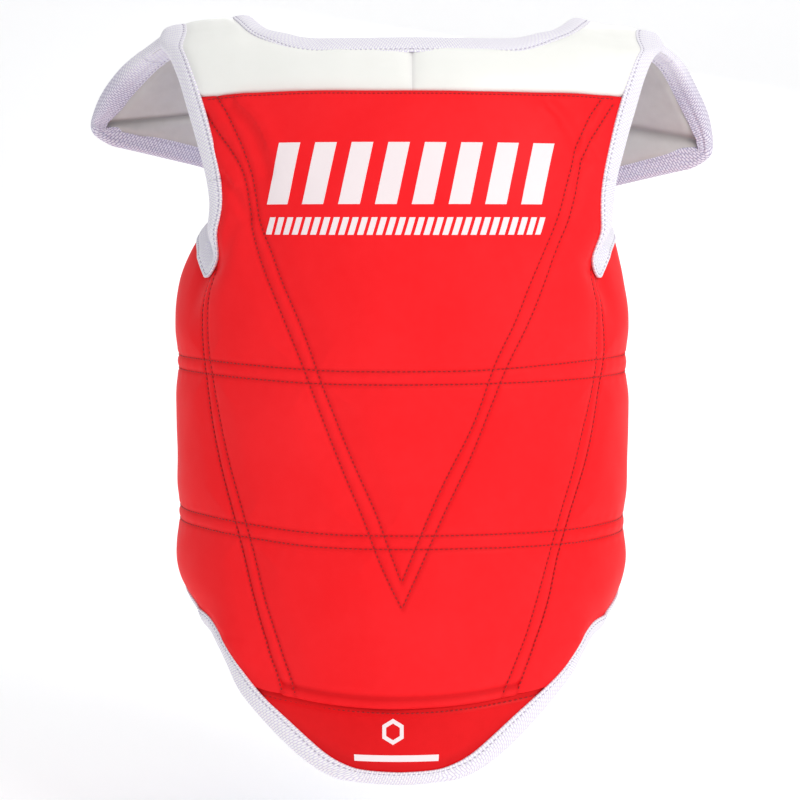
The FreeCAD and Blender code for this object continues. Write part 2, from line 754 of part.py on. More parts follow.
save_padded_pair("flap_tip", tip_sheet,
                 [[(across, along) for along in spaced(tip_start(across), low, 16)]
                  for across, low in tip_lower])
save_pair("flap_tip_binding", binding(
    tip_sheet, tip_edge, -1, ends=((0, TIP_BLEND), (0, TIP_BLEND)),
    leg=TIP_LEG, proud=0.3, gap=TIP_WRAP_GAP))


# ---------------------------------------------------------------- rings and webbing
def wire_ring(bar, width_dir, reach_dir, web_width):
    """Rectangular ring of round wire; its fixed bar runs through the point bar."""
    half = width_dir * ((web_width + RING_PLAY) / 2 + RING_R)
    reach = reach_dir * RING_H
    corners = [bar - half, bar + half, bar + half + reach, bar - half + reach]
    ring = None
    for k in range(4):
        start, end = corners[k], corners[(k + 1) % 4]
        rod = Part.makeCylinder(RING_R, (end - start).Length, start, end - start)
        ball = Part.makeSphere(RING_R, start)
        ring = rod.fuse(ball) if ring is None else ring.fuse([rod, ball])
    return ring.removeSplitter().Solids[0]


def ring_tab(bar, width_dir, out_dir, reach_dir, width, length, curve):
    """Doubled webbing lying behind the ring bar, with a round loop over the bar."""
    upper, lower = [], []
    for back in spaced(TAB_START, length, 13):
        sag = -back * back / (2 * curve)
        upper.append(bar - reach_dir * back + out_dir * (sag + TAB_T / 2))
        lower.append(bar - reach_dir * back + out_dir * (sag - TAB_T / 2))
    outline = Part.makePolygon(upper + lower[::-1] + [upper[0]])
    tongue = Part.Face(outline).extrude(width_dir * width)
    tongue.translate(width_dir * (-width / 2))
    hole_r = RING_R + RUN
    tube = Part.makeCylinder(hole_r + LOOP_T, width, bar - width_dir * (width / 2), width_dir)
    hole = Part.makeCylinder(hole_r, width + 2, bar - width_dir * (width / 2 + 1), width_dir)
    return tongue.fuse(tube).cut(hole).removeSplitter().Solids[0]


def webbing(place, across, along, depth):
    """Band of one webbing thickness; place(across, along, depth) gives its points."""
    outer, inner = [[[place(a, b, level) for b in along] for a in across]
                    for level in (depth + WEB_T, depth)]
    return slab(outer, inner)


HOOK_OFF = WEB_OFF + WEB_T + GAP    # a hook tab lies on its strap or belt

# ---------------------------------------------------------------- strap rings and back straps
# the ring's bar hangs under the tip's lower edge
tab_point = tip(TIP_TAB_A, TIP_TAB_B)
tip_normal = tip_sheet.normal(TIP_TAB_A, TIP_TAB_B)
strap_width_dir = unit(UP.cross(tip_normal))
strap_down = unit(strap_width_dir.cross(tip_normal))
run_down = (tab_point.z - tip(TIP_TAB_A, 1).z + RING_BELOW) / -strap_down.z
strap_bar = tab_point + strap_down * run_down + tip_normal * (TAB_OFF + TAB_T / 2)
save_pair("strap_ring", wire_ring(strap_bar, strap_width_dir, strap_down, WEB_W))
save_pair("ring_tab", ring_tab(strap_bar, strap_width_dir, tip_normal, strap_down, WEB_W,
                               run_down + STRAP_TAB_EXTRA, FLAT_CURVE))

strap_arc = arc_at(STRAP_DEG)
strap_top = strap_bar + strap_down * (RING_H + RING_R + STRAP_FOLD_GAP)


def strap_place(across, z, depth):
    """From the wing's curve below to the ring's plane above."""
    arc = strap_arc + across
    on_wing = girdle(arc, z) + wing_sheet.normal(arc, z) * depth
    at_ring = (strap_top + strap_down * ((z - strap_top.z) / strap_down.z)
               + strap_width_dir * across + tip_normal * (depth - STRAP_INSET))
    return blend(on_wing, at_ring, ease((z - STRAP_FREE_Z) / (strap_top.z - STRAP_FREE_Z)))


strap_across = spaced(-WEB_W / 2, WEB_W / 2, 7)
save_pair("back_strap", webbing(
    strap_place, strap_across, spaced(STRAP_Z0, strap_top.z, 16), WEB_OFF))
save_pair("strap_hook_tab", webbing(
    strap_place, strap_across, spaced(HOOK_Z0, strap_top.z - HOOK_SHORT, 16), HOOK_OFF))

# ---------------------------------------------------------------- waist belt and its ring
# the belt runs from the left wing round the open back to a ring on the right wing
bar_angle = math.radians(BELT_BAR_DEG)
belt_bar = V(-HALF_W * math.sin(bar_angle), -HALF_D * math.cos(bar_angle), BELT_Z)
belt_out = girdle_normal(belt_bar)
belt_reach = unit(belt_out.cross(UP))
belt_bar = belt_bar + belt_out * (TAB_OFF + TAB_T / 2)
save("belt_ring", wire_ring(belt_bar, UP, belt_reach, BELT_W))
save("belt_ring_tab", ring_tab(belt_bar, UP, belt_out, belt_reach, BELT_W,
                               BELT_TAB_L, BELT_TAB_CURVE))


def belt_place(arc, z, depth):
    point = girdle(arc, z)
    return point + girdle_normal(point) * depth


def belt_band(start, end, half_width, depth):
    return webbing(belt_place, spaced(start, end, 31),
                   spaced(BELT_Z - half_width, BELT_Z + half_width, 7), depth)


# 2.0 allows for the bar standing off the girdle
ring_angle = (RING_H + RING_R + BELT_END_GAP) / (arc_rate(bar_angle) + 2.0)
belt_end = arc_at(360.0 - BELT_BAR_DEG - math.degrees(ring_angle))
save("waist_belt", belt_band(arc_at(BELT_FROM_DEG), belt_end, BELT_W / 2, WEB_OFF))
save("belt_hook_tab", belt_band(belt_end - BELT_HOOK_L, belt_end - HOOK_SHORT,
                                BELT_W / 2 - BELT_HOOK_INSET, HOOK_OFF))
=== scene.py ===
"""Quilted red chest guard with a white yoke, shoulder flaps, side wings, back straps and a belt.

It stands upright as worn: +Z up, the chest faces -Y, and +X is the wearer's left.
Tables and meshes are in millimetres; settle() shifts them and MM scales them to metres.
"h" is height up to 300, then length along the curved front profile over to the crest.
"s" is arc length round the trunk from the side fold line, positive towards the back.
"""
import math
import bmesh
import bpy
import numpy as np
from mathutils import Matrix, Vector
from mathutils.kdtree import KDTree


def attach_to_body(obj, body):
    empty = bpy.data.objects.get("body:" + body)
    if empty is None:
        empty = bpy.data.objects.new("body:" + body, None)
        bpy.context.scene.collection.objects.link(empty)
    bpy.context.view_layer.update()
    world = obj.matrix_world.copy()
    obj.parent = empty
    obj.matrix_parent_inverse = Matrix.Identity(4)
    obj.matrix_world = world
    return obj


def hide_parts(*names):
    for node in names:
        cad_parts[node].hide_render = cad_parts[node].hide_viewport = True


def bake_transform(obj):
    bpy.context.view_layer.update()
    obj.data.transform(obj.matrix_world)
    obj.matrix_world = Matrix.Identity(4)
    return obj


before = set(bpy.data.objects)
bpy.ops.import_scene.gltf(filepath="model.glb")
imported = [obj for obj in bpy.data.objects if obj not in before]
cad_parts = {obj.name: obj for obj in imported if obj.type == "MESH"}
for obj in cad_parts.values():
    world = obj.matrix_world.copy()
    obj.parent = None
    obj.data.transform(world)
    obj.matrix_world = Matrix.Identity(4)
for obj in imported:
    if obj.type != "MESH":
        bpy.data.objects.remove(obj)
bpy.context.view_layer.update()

MM = 0.001
RNG = np.random.default_rng(862)
SIDES = ((1, "left"), (-1, "right"))

# ============================================================ dimensions, mm
HALF_W, HALF_D = 141.0, 106.0      # half axes of the trunk's ellipse
CURVE_H = 300.0                    # the front starts to lean back here
# front profile above CURVE_H: y, z
PROFILE = [(-106.0, 300.0), (-104.6, 330.0), (-98.5, 366.0), (-85.0, 404.0), (-74.0, 424.0),
           (-60.0, 441.0), (-42.0, 452.8), (-21.0, 459.6), (0.0, 461.0)]
CREST_DROP, WALL, FLAP_T = 10.0, 19.1, 11.0
HINGE_X, SEAM_H = 127.0, 406.5     # side fold line; seam under the yoke
TAPER, FLAP_TAPER = 32.0, 20.0     # how far in the padding thins towards an edge
WING_END_DEG, WING_CORNER = 156.0, 30.0
TAPE = 1.0                         # tape thickness
# h, x of the armhole edge
ARMHOLE = [(307.0, 120.6), (314.5, 119.9), (330.0, 118.6), (342.0, 118.6), (361.5, 121.0),
           (378.0, 124.0), (393.0, 127.0), (408.0, 130.5), (421.5, 134.0), (434.5, 137.8),
           (447.0, 141.5), (460.0, 145.5), (480.0, 149.5), (500.0, 151.5), (516.5, 152.0)]
# x, h of the neck edge
NECK = [(0.0, 451.2), (30.0, 451.0), (50.0, 451.4), (66.0, 453.5), (77.0, 460.0),
        (85.5, 469.0), (93.0, 484.0), (97.5, 500.0), (99.0, 516.5)]
# x, z of the hem
HEM = [(0.0, 0.6), (15.0, 1.2), (30.0, 3.2), (47.0, 10.0), (66.0, 23.0), (86.7, 40.5),
       (101.5, 56.5), (112.0, 70.0), (120.0, 77.6), (127.0, 80.5)]
# degrees round from the centre front, z
WING_TOP = [(64.26, 305.4), (66.0, 305.9), (70.0, 308.5), (80.0, 318.5), (90.0, 325.0),
            (102.0, 325.0), (115.0, 318.0), (130.0, 307.0), (145.0, 298.5), (156.0, 294.0)]
WING_BOTTOM = [(64.26, 80.7), (70.0, 84.0), (80.0, 88.0), (90.0, 90.5), (110.0, 94.0),
               (130.0, 98.0), (156.0, 104.0)]
# x, y, z of the inner and outer edges of a flap and of the tip folded down from it
FLAP_IN = [(99.0, 0.4, 456.07), (98.3, 8.0, 456.0), (92.5, 30.0, 452.5), (80.0, 62.0, 435.0),
           (68.0, 85.0, 408.0)]
FLAP_OUT = [(152.0, 0.4, 449.38), (154.3, 7.0, 448.3), (163.5, 17.0, 441.5),
            (175.5, 28.0, 430.0), (187.0, 40.0, 417.0), (196.0, 51.0, 403.5),
            (200.5, 60.0, 391.5)]
TIP_IN = [(68.0, 85.0, 408.0), (61.5, 93.0, 374.0), (57.0, 96.5, 342.0)]
TIP_OUT = [(200.5, 60.0, 391.5), (200.5, 63.0, 383.0), (196.0, 66.0, 376.0)]
FLAP_CROWN, TIP_CROWN = 5.0, 3.0
TIP_R_IN, TIP_R_OUT = 15.0, 9.5    # corner radii of the tip
FLAP_SEAM = 0.27                   # seam across a flap, share of its length from the crest
LEATHER_T, VINYL_T, LINING_T = 2.4, 2.0, 1.6
LINING_SEAM_X = 100.0              # between the lining's centre and side pieces
LINING_SEAM_H = 311.0
CHEST_BOTTOM = 50.0

# quilt rows on the front: x, h; key -1 is the wearer's right, 1 the left
V_IN = {-1: [(-110.1, 406.0), (-91.5, 367.3), (-87.3, 353.2), (-82.4, 325.8), (-76.7, 311.7),
             (-67.9, 288.5), (-58.5, 267.1), (-49.9, 243.5), (-38.8, 214.7), (-26.0, 183.2),
             (-14.4, 156.8), (-7.5, 137.8), (-0.4, 118.6)],
        1: [(117.5, 403.3), (104.3, 377.5), (100.1, 362.5), (96.9, 351.5), (88.8, 324.6),
            (78.3, 300.6), (66.5, 271.0), (53.5, 243.4), (43.2, 214.6), (29.5, 187.2),
            (17.9, 163.1), (7.5, 138.2), (-0.4, 118.6)]}
V_OUT = {-1: [(-118.0, 395.0), (-109.0, 381.5), (-93.9, 358.7), (-91.3, 349.6),
              (-88.2, 326.4), (-84.3, 310.5), (-77.5, 291.8), (-68.9, 271.0), (-57.6, 243.9),
              (-46.4, 214.6), (-31.8, 177.3), (-20.8, 150.9), (-14.4, 133.7), (-0.2, 103.2)],
         1: [(126.0, 401.0), (111.9, 377.8), (106.7, 366.9), (103.7, 351.5), (93.8, 319.8),
             (84.0, 294.6), (72.5, 266.2), (61.1, 243.2), (49.9, 215.6), (36.5, 184.1),
             (22.8, 155.5), (13.3, 133.7), (-0.2, 103.2)]}
# diagonal rows: distance from the middle, h
D_OUT = {-1: [(121.3, 307.2), (121.4, 287.0), (121.0, 266.9), (119.7, 243.6), (117.0, 223.4),
              (111.0, 191.2), (100.1, 150.3), (89.5, 110.2), (82.1, 84.0), (77.0, 67.6),
              (70.4, 50.0)],
         1: [(121.3, 307.2), (122.4, 287.0), (122.6, 266.0), (122.4, 249.2), (119.0, 228.0),
             (113.0, 196.9), (105.2, 171.0), (97.9, 147.3), (92.6, 129.3), (87.7, 107.5),
             (81.5, 87.0), (74.3, 67.3), (67.7, 50.0)]}
D_IN = {-1: [(115.2, 300.0), (116.6, 280.0), (116.8, 256.2), (114.6, 237.4), (110.6, 216.9),
             (104.9, 190.7), (92.6, 147.0), (85.7, 121.0), (79.7, 99.0), (73.9, 81.5),
             (68.9, 66.7), (62.4, 48.9)],
        1: [(115.2, 300.0), (117.2, 280.0), (117.4, 262.0), (116.6, 240.8), (108.4, 205.4),
            (101.1, 177.4), (92.8, 149.6), (83.9, 118.5), (79.5, 103.6), (73.7, 84.9),
            (66.5, 66.5), (58.6, 48.6)]}
# horizontal rows: z at the centre, on the wearer's right, on the left
H_ROWS = [(242.3, 245.5, 246.0), (234.6, 237.2, 235.2), (146.4, 151.0, 145.0),
          (138.5, 142.8, 136.6)]
WING_ROWS_DEG = (118.0, 121.0)
# soft folds of the leather: (x, h) points, height, half width
WRINKLES = [([(-100, 398), (-90, 387), (-83.5, 373), (-79, 357)], -1.5, 4.2),
            ([(-93, 402), (-82, 390), (-75, 376)], 0.9, 5.0),
            ([(-106, 354), (-97, 342), (-91, 331)], -1.2, 3.4),
            ([(-112, 372), (-104, 362), (-98, 352)], 0.8, 4.0),
            ([(86, 399), (95, 389), (101, 376), (104, 365)], -1.5, 4.0),
            ([(112, 394), (111, 381), (116, 368)], -1.1, 3.2),
            ([(80, 396), (88, 384), (94, 370)], 0.8, 5.0),
            ([(109, 362), (104, 349), (101, 335)], -0.9, 3.6),
            ([(-112, 300), (-104, 312), (-99, 326)], -0.7, 4.5),
            ([(112, 298), (105, 310), (101, 322)], -0.7, 4.5)]


# ============================================================ small maths
def smooth(x):
    x = np.clip(x, 0.0, 1.0)
    return x * x * (3 - 2 * x)


def rise(value, start, span):
    """0 up to start, 1 from start + span."""
    return smooth((value - start) / span)


def fall(value, end, span):
    """1 up to end - span, 0 from end."""
    return smooth((end - value) / span)


def bell(offset, width):
    return np.exp(-(offset / width) ** 2)


def unit(v):
    return v / np.maximum(np.linalg.norm(v, axis=-1, keepdims=True), 1e-9)


def mirror(points, sign):
    return points * np.array([sign, 1.0, 1.0])


def shares(count):
    return np.linspace(0, 1, count)


def grid(first, second):
    return np.meshgrid(first, second, indexing="ij")


def run_length(points):
    return np.concatenate([[0], np.cumsum(np.linalg.norm(np.diff(points, axis=0), axis=1))])


def sample(points, run, at):
    """Points of a polyline at given running lengths."""
    return np.stack([np.interp(at, run, column) for column in points.T], -1)


class Spline:
    """Natural cubic spline through a table, straight beyond its ends."""

    def __init__(self, xs, ys):
        xs, ys = np.asarray(xs, float), np.asarray(ys, float)
        n = len(xs)
        gap = np.diff(xs)
        square, upper, partial = np.zeros(n), np.zeros(n), np.zeros(n)
        for i in range(1, n - 1):
            rhs = 3 * ((ys[i + 1] - ys[i]) / gap[i] - (ys[i] - ys[i - 1]) / gap[i - 1])
            pivot = 2 * (xs[i + 1] - xs[i - 1]) - gap[i - 1] * upper[i - 1]
            upper[i] = gap[i] / pivot
            partial[i] = (rhs - gap[i - 1] * partial[i - 1]) / pivot
        for i in range(n - 2, 0, -1):
            square[i] = partial[i] - upper[i] * square[i + 1]
        self.xs, self.ys, self.square = xs, ys, square
        self.slope = np.diff(ys) / gap - gap * (square[1:] + 2 * square[:-1]) / 3
        self.cube = np.diff(square) / (3 * gap)
        last = gap[-1]
        self.end_slope = (self.slope[-1] + 2 * square[-2] * last
                          + 3 * self.cube[-1] * last * last)

    def __call__(self, x):
        x = np.asarray(x, float)
        xs, ys = self.xs, self.ys
        k = np.clip(np.searchsorted(xs, x, side="left") - 1, 0, len(xs) - 2)
        t = x - xs[k]
        y = ys[k] + t * (self.slope[k] + t * (self.square[k] + t * self.cube[k]))
        y = np.where(x <= xs[0], ys[0] + self.slope[0] * (x - xs[0]), y)
        return np.where(x >= xs[-1], ys[-1] + self.end_slope * (x - xs[-1]), y)[()]


def path(points, curved=True):
    """A curve by share of its length; the result has one more dimension than its argument."""
    points = np.asarray(points, float)
    run = run_length(points)
    run = run / run[-1]
    if curved:
        splines = [Spline(run, column) for column in points.T]
        return lambda u: np.stack([f(u) for f in splines], -1)
    return lambda u: sample(points, run, u)


class Near:
    """Nearest sample of a set of curves."""

    def __init__(self, curves, gap):
        points, runs, which = [], [], []
        for k, curve in enumerate(curves):
            run = run_length(curve)
            at = np.linspace(0, run[-1], max(int(run[-1] / gap), 2))
            points.append(sample(curve, run, at))
            runs.append(at)
            which.append(np.full(len(at), k))
        points = np.concatenate(points)
        self.run, self.which = np.concatenate(runs), np.concatenate(which)
        self.tree = KDTree(len(points))
        for i, point in enumerate(points.tolist()):
            self.tree.insert(point, i)
        self.tree.balance()

    def find(self, points):
        """Distance, running length along the curve, and index of the curve."""
        shape = points.shape[:-1]
        hits = [self.tree.find(p)[1:] for p in points.reshape(-1, 3).tolist()]
        k = np.array([hit[0] for hit in hits], int)
        distance = np.array([hit[1] for hit in hits])
        return distance.reshape(shape), self.run[k].reshape(shape), self.which[k].reshape(shape)

    def __call__(self, points):
        return self.find(points)[0]


def waves(points, seed, wavelength):
    """Smooth irregular undulation, about -1 to 1."""
    count = 7
    rng = np.random.default_rng(seed)
    out = np.zeros(points.shape[:-1])
    for _ in range(count):
        k = rng.normal(size=3)
        k /= np.linalg.norm(k)
        k = k * 2 * math.pi / (wavelength * rng.uniform(0.7, 1.5))
        out += np.sin(points @ k + rng.uniform(0, 6.28))
    return out / math.sqrt(count)


# ============================================================ how the trunk leans and widens
def lean_at(x, z):
    """Sideways lean of the upper trunk, and a little the other way at the hem."""
    return 5.6 * rise(z, 285, 58) * fall(np.abs(x), 200, 50) - 2.0 * fall(z, 64, 22)


def widen_at(x, z):
    """How far the armhole edges and the hem's edges stand out sideways."""
    across = np.abs(x)
    arm = 3.0 * rise(across, 78, 32) + 3.6 * rise(across, 104, 16)
    arm = arm + 2.6 * rise(across, 114, 13) * rise(z, 330, 25)
    arm = arm * rise(z, 304, 22) * fall(z, 452, 20)
    hem_x = np.interp(z, [p[1] for p in HEM], [p[0] for p in HEM])
    hem = 5.6 * rise(across / np.maximum(hem_x, 34.0), 0.6, 0.3) * fall(z, 100, 28)
    return (arm + hem) * np.sign(x)


def upright(table, sign=1, top=math.inf):
    """Takes the lean and the widening out of a table of x, h, below top."""
    out = []
    for x, h in table:
        rest = x * sign
        if h < top:
            for _ in range(8):
                rest = x * sign - lean_at(rest, h) - widen_at(rest, h)
        out.append((rest * sign, h))
    return out


V_IN = {k: upright(table) for k, table in V_IN.items()}
V_OUT = {k: upright(table) for k, table in V_OUT.items()}
D_IN = {k: upright(table, k, 285.0) for k, table in D_IN.items()}
D_OUT = {k: upright(table, k, 285.0) for k, table in D_OUT.items()}

# ============================================================ surfaces
_profile = np.array(PROFILE)
_profile_h = CURVE_H + run_length(_profile)
PROFILE_Y, PROFILE_Z = Spline(_profile_h, _profile[:, 0]), Spline(_profile_h, _profile[:, 1])
CREST_H = _profile_h[-1]


def set_back(h):
    """Share of the trunk's half depth by which the profile has come back."""
    return np.where(h > CURVE_H, 1 + PROFILE_Y(h) / HALF_D, 0.0)


def trunk(x, h):
    x, h = np.broadcast_arrays(np.asarray(x, float), np.asarray(h, float))
    back = set_back(h)
    z = np.where(h > CURVE_H, PROFILE_Z(h), h)
    half = HALF_W + 30.0 * np.clip((h - CURVE_H) / 160.0, 0, 1)
    r = np.minimum(np.abs(x) / half, 0.995)
    y = -(1 - back) * HALF_D * np.sqrt(1 - r * r)
    return np.stack([x, y, z - CREST_DROP * back * (x / HALF_W) ** 2], -1)


HINGE_ANGLE = math.asin(HINGE_X / HALF_W)
ANGLES = np.linspace(0, 2 * math.pi, 8001)
_middle = 0.5 * (ANGLES[1:] + ANGLES[:-1])
_rate = np.hypot(HALF_W * np.cos(_middle), HALF_D * np.sin(_middle))
ARCS = np.concatenate([[0], np.cumsum(_rate * np.diff(ANGLES))])
ARCS -= np.interp(HINGE_ANGLE, ANGLES, ARCS)


def angle_of_s(s):
    return np.interp(s, ARCS, ANGLES)


def s_of_angle(angle):
    return np.interp(angle, ANGLES, ARCS)


def s_of_deg(degrees):
    return s_of_angle(np.radians(degrees))


def s_of_x(x):
    return s_of_angle(np.arcsin(np.clip(np.asarray(x, float) / HALF_W, -1, 1)))


def ellipse(angle, z):
    return np.stack([HALF_W * np.sin(angle), -HALF_D * np.cos(angle), z + 0 * angle], -1)


def radial(points):
    """Level outward direction from the trunk's ellipse."""
    x, y = points[..., 0], points[..., 1]
    return unit(np.stack([x / HALF_W ** 2, y / HALF_D ** 2, 0 * x], -1))


def girdle(s, z):
    """Trunk and wing as one surface round the body."""
    s, z = np.broadcast_arrays(np.asarray(s, float), np.asarray(z, float))
    out = ellipse(angle_of_s(s), z)
    front = fall(s, 0, 22) * (z > CURVE_H)
    half = HALF_W + 30.0 * np.clip((z - CURVE_H) / 160.0, 0, 1) * front
    depth = (1 - set_back(z) * front) * HALF_D
    y = -depth * np.sqrt(np.maximum(1 - (out[..., 0] / half) ** 2, 1e-6))
    out[..., 1] = np.where(front > 0, y, out[..., 1])
    return out


_flap_in, _flap_out, _tip_in, _tip_out = (path(t) for t in (FLAP_IN, FLAP_OUT, TIP_IN, TIP_OUT))


def ruled(inner, outer, a, b, crown, crown_dir):
    base = inner(b) * (1 - a[..., None]) + outer(b) * a[..., None]
    crown = crown * np.sin(math.pi * np.clip(a, 0, 1))
    return base + np.array(crown_dir) * crown[..., None]


def flap(a, b):
    """a runs from the inner to the outer edge, b from the crest to the fold line."""
    a, b = np.broadcast_arrays(np.asarray(a, float), np.asarray(b, float))
    crown = FLAP_CROWN * np.sin(math.pi * np.clip(b, 0, 1))
    return ruled(_flap_in, _flap_out, a, b, crown, [0, 0.75, 0.66])


def tip(a, b):
    """a as on the flap, b from the fold line to the lower edge."""
    a, b = np.broadcast_arrays(np.asarray(a, float), np.asarray(b, float))
    return ruled(_tip_in, _tip_out, a, b, TIP_CROWN * np.clip(b, 0, 1), [0, 1.0, 0])


def tangents(surface, p, q, gap):
    """Both parameter directions and the normal."""
    along_p = (surface(p + gap, q) - surface(p - gap, q)) * (0.5 / gap)
    along_q = (surface(p, q + gap) - surface(p, q - gap)) * (0.5 / gap)
    return along_p, along_q, unit(np.cross(along_p, along_q))


def without_y(normals, share):
    out = normals.copy()
    out[..., 1] *= 1 - share
    return unit(out)


def trunk_frame(x, h):
    along_x, along_h, normal = tangents(trunk, x, h, 0.4)
    upright_share = np.where(h > 400, rise(trunk(x, h)[..., 1], -16, 15), 0.0)
    return along_x, along_h, without_y(normal, upright_share)


def girdle_frame(s, z):
    return tangents(girdle, s, z, 0.4)


def fold_normal(a):
    return unit(tangents(flap, a, 0 * a + 0.999, 0.004)[2]
                + tangents(tip, a, 0 * a + 0.001, 0.004)[2])


def flap_frame(a, b):
    along_a, along_b, normal = tangents(flap, a, b, 0.004)
    normal = without_y(normal, fall(b, 0.16, 0.15))
    fold = rise(b, 0.8, 0.19)[..., None]
    return along_a, along_b, unit(normal * (1 - fold) + fold_normal(a) * fold)


def tip_frame(a, b):
    along_a, along_b, normal = tangents(tip, a, b, 0.004)
    fold = fall(b, 0.3, 0.28)[..., None]
    return along_a, along_b, unit(normal * (1 - fold) + fold_normal(a) * fold)


def on_trunk(x, h, sign=1):
    return mirror(trunk(x, h), sign), mirror(trunk_frame(x, h)[2], sign)


def on_girdle(s, z, sign=1):
    return mirror(girdle(s, z), sign), mirror(girdle_frame(s, z)[2], sign)


# ============================================================ bound edges
arm_x = Spline([p[0] for p in ARMHOLE], [p[1] for p in ARMHOLE])
hem_z = Spline([p[0] for p in HEM], [p[1] for p in HEM])
wing_top = Spline([s_of_deg(d) for d, z in WING_TOP], [z for d, z in WING_TOP])
wing_bottom = Spline([s_of_deg(d) for d, z in WING_BOTTOM], [z for d, z in WING_BOTTOM])
S_END = s_of_deg(WING_END_DEG)


def hem_seam(x):
    """Height of the folded seam between the chest and hem panels."""
    return 45.0 + 6.0 * (np.asarray(x, float) / 77.0) ** 2


ARM_EDGE = path([(arm_x(h), h) for h in [CREST_H - 16.5 * k for k in range(13)] + [312.0]]
                + [(120.9, 308.6), (122.4, 306.4), (124.4, 305.4), (HINGE_X, 305.3)])
NECK_EDGE = path(NECK)
_hem = [(x, hem_z(x)) for x in (0, 15, 26, 36, 46, 56, 66, 76, 86, 95, 104, 112, 120, HINGE_X)]
HEM_EDGE = path([(-x, z) for x, z in _hem[:0:-1]] + _hem)


def wing_columns():
    """s, bottom z, top z along a wing, with its rear corners rounded."""
    out = []
    for i in range(34):
        s = (S_END - WING_CORNER) * i / 33.0
        out.append((s, wing_bottom(s), wing_top(s)))
    for i in range(1, 10):
        angle = math.pi / 2 * i / 9
        s = S_END - WING_CORNER * (1 - math.sin(angle))
        dz = WING_CORNER * (1 - math.cos(angle))
        out.append((s, wing_bottom(s) + dz, wing_top(s) - dz))
    return out


def between(start, end, count):
    """Places on the rear edge between two heights, ends left out."""
    return [(S_END, start * (1 - i / count) + end * i / count) for i in range(1, count)]


WING = wing_columns()
WING_TOPS, WING_BOTTOMS = [(s, t) for s, b, t in WING], [(s, b) for s, b, t in WING]
_rear_low, _rear_high = WING[-1][1:]
WING_EDGE = path(WING_TOPS + between(_rear_high, _rear_low, 24) + WING_BOTTOMS[::-1])
HALF_CORNER = len(WING) - 5        # column half way round a rear corner
REAR_EDGE = path(WING_BOTTOMS[HALF_CORNER:] + between(_rear_low, _rear_high, 12)
                 + WING_TOPS[HALF_CORNER:][::-1])


def tip_columns():
    """a, b round the tip's lower edge."""
    width = np.linalg.norm(tip(1, 1) - tip(0, 1))
    inner_a, outer_a = TIP_R_IN / width, TIP_R_OUT / width
    inner_b = TIP_R_IN / np.linalg.norm(tip(0, 1) - tip(0, 0))
    outer_b = TIP_R_OUT / np.linalg.norm(tip(1, 1) - tip(1, 0))
    turn = [math.pi / 2 * k / 8 for k in range(9)]
    out = [(inner_a * (1 - math.cos(t)), 1 - inner_b * (1 - math.sin(t))) for t in turn]
    out += [(inner_a + (1 - inner_a - outer_a) * k / 16.0, 1.0) for k in range(1, 16)]
    return out + [(1 - outer_a * (1 - math.sin(t)), 1 - outer_b * (1 - math.cos(t)))
                  for t in turn]


TIP_COLUMNS = tip_columns()
TIP_EDGE = path([(0.0, TIP_COLUMNS[0][1] * k / 8.0) for k in range(8)] + TIP_COLUMNS
                + [(1.0, TIP_COLUMNS[-1][1] * (1 - k / 4.0)) for k in range(1, 5)],
                curved=False)

_edges = []
for sign, _ in SIDES:
    for edge, surface, count in ((ARM_EDGE, trunk, 400), (NECK_EDGE, trunk, 400),
                                 (WING_EDGE, girdle, 900)):
        _edges.append(mirror(surface(*edge(shares(count)).T), sign))
_edges.append(trunk(*HEM_EDGE(shares(400)).T))
edge_distance = Near(_edges, 0.8)
flap_edge_distance = Near([flap(np.full(160, a), shares(160)) for a in (0.0, 1.0)]
                          + [tip(*TIP_EDGE(shares(300)).T)], 0.7)
fold_distance = Near([tip(shares(60), np.zeros(60))], 0.5)
seam_distance = Near([flap(shares(60), np.full(60, FLAP_SEAM))], 0.5)


# ============================================================ thickness of the padding
def crest_share(points):
    return rise(points[..., 1], -48, 46) * rise(points[..., 2], 400, 30)


def side_share(points):
    x, y, z = np.moveaxis(points, -1, 0)
    return rise(np.abs(x), 92, 34) * np.maximum(fall(z, 330, 40), rise(y, -46, 20)) * (z < 345)


def taper(distance, reach=TAPER):
    """1 on an edge, 0 from reach inwards."""
    return (1 - np.minimum(distance / reach, 1.0)) ** 2


def trunk_depths(points, distance):
    """Depths of the outer and inner skins below the surface."""
    crest, side, share = crest_share(points), side_share(points), taper(distance)
    outer = (6.0 + 6.0 * side) * (1 - crest) + crest
    inner = 4.0 * (1 - side) * (1 - crest) + crest
    return outer * share, WALL + (FLAP_T - WALL) * crest - inner * share


def flap_depths(points, distance):
    share = taper(distance, FLAP_TAPER)
    return share, FLAP_T - share


# ============================================================ quilting
def row_height(row, x):
    """z of a horizontal row at signed x."""
    centre, right, left = row
    end = np.where(x > 0, left, right)
    return centre + (end - centre) * rise(np.abs(x), 30, 100)


def row_width(s):
    """Distance from the middle that sets a row's height; constant behind the widest point."""
    return np.where(s < s_of_deg(90), girdle(s, 0 * s)[..., 0], HALF_W)


def horizontal_row(row):
    """A horizontal row right round both wings."""
    front = s_of_deg(0)
    along = np.linspace(front - S_END, S_END - front, 700)
    sign = np.where(along > 0, 1, -1)
    s = np.abs(along) + front
    out = girdle(s, row_height(row, sign * row_width(s)))
    out[:, 0] *= sign
    return out


def trunk_line(table, sign=1.0, count=400):
    x, h = path(table)(shares(count)).T
    return trunk(x * sign, h)


def wing_row(sign, degrees):
    s = s_of_deg(degrees)
    return mirror(girdle(s, np.linspace(wing_bottom(s) + 4, wing_top(s) - 4, 200)), sign)


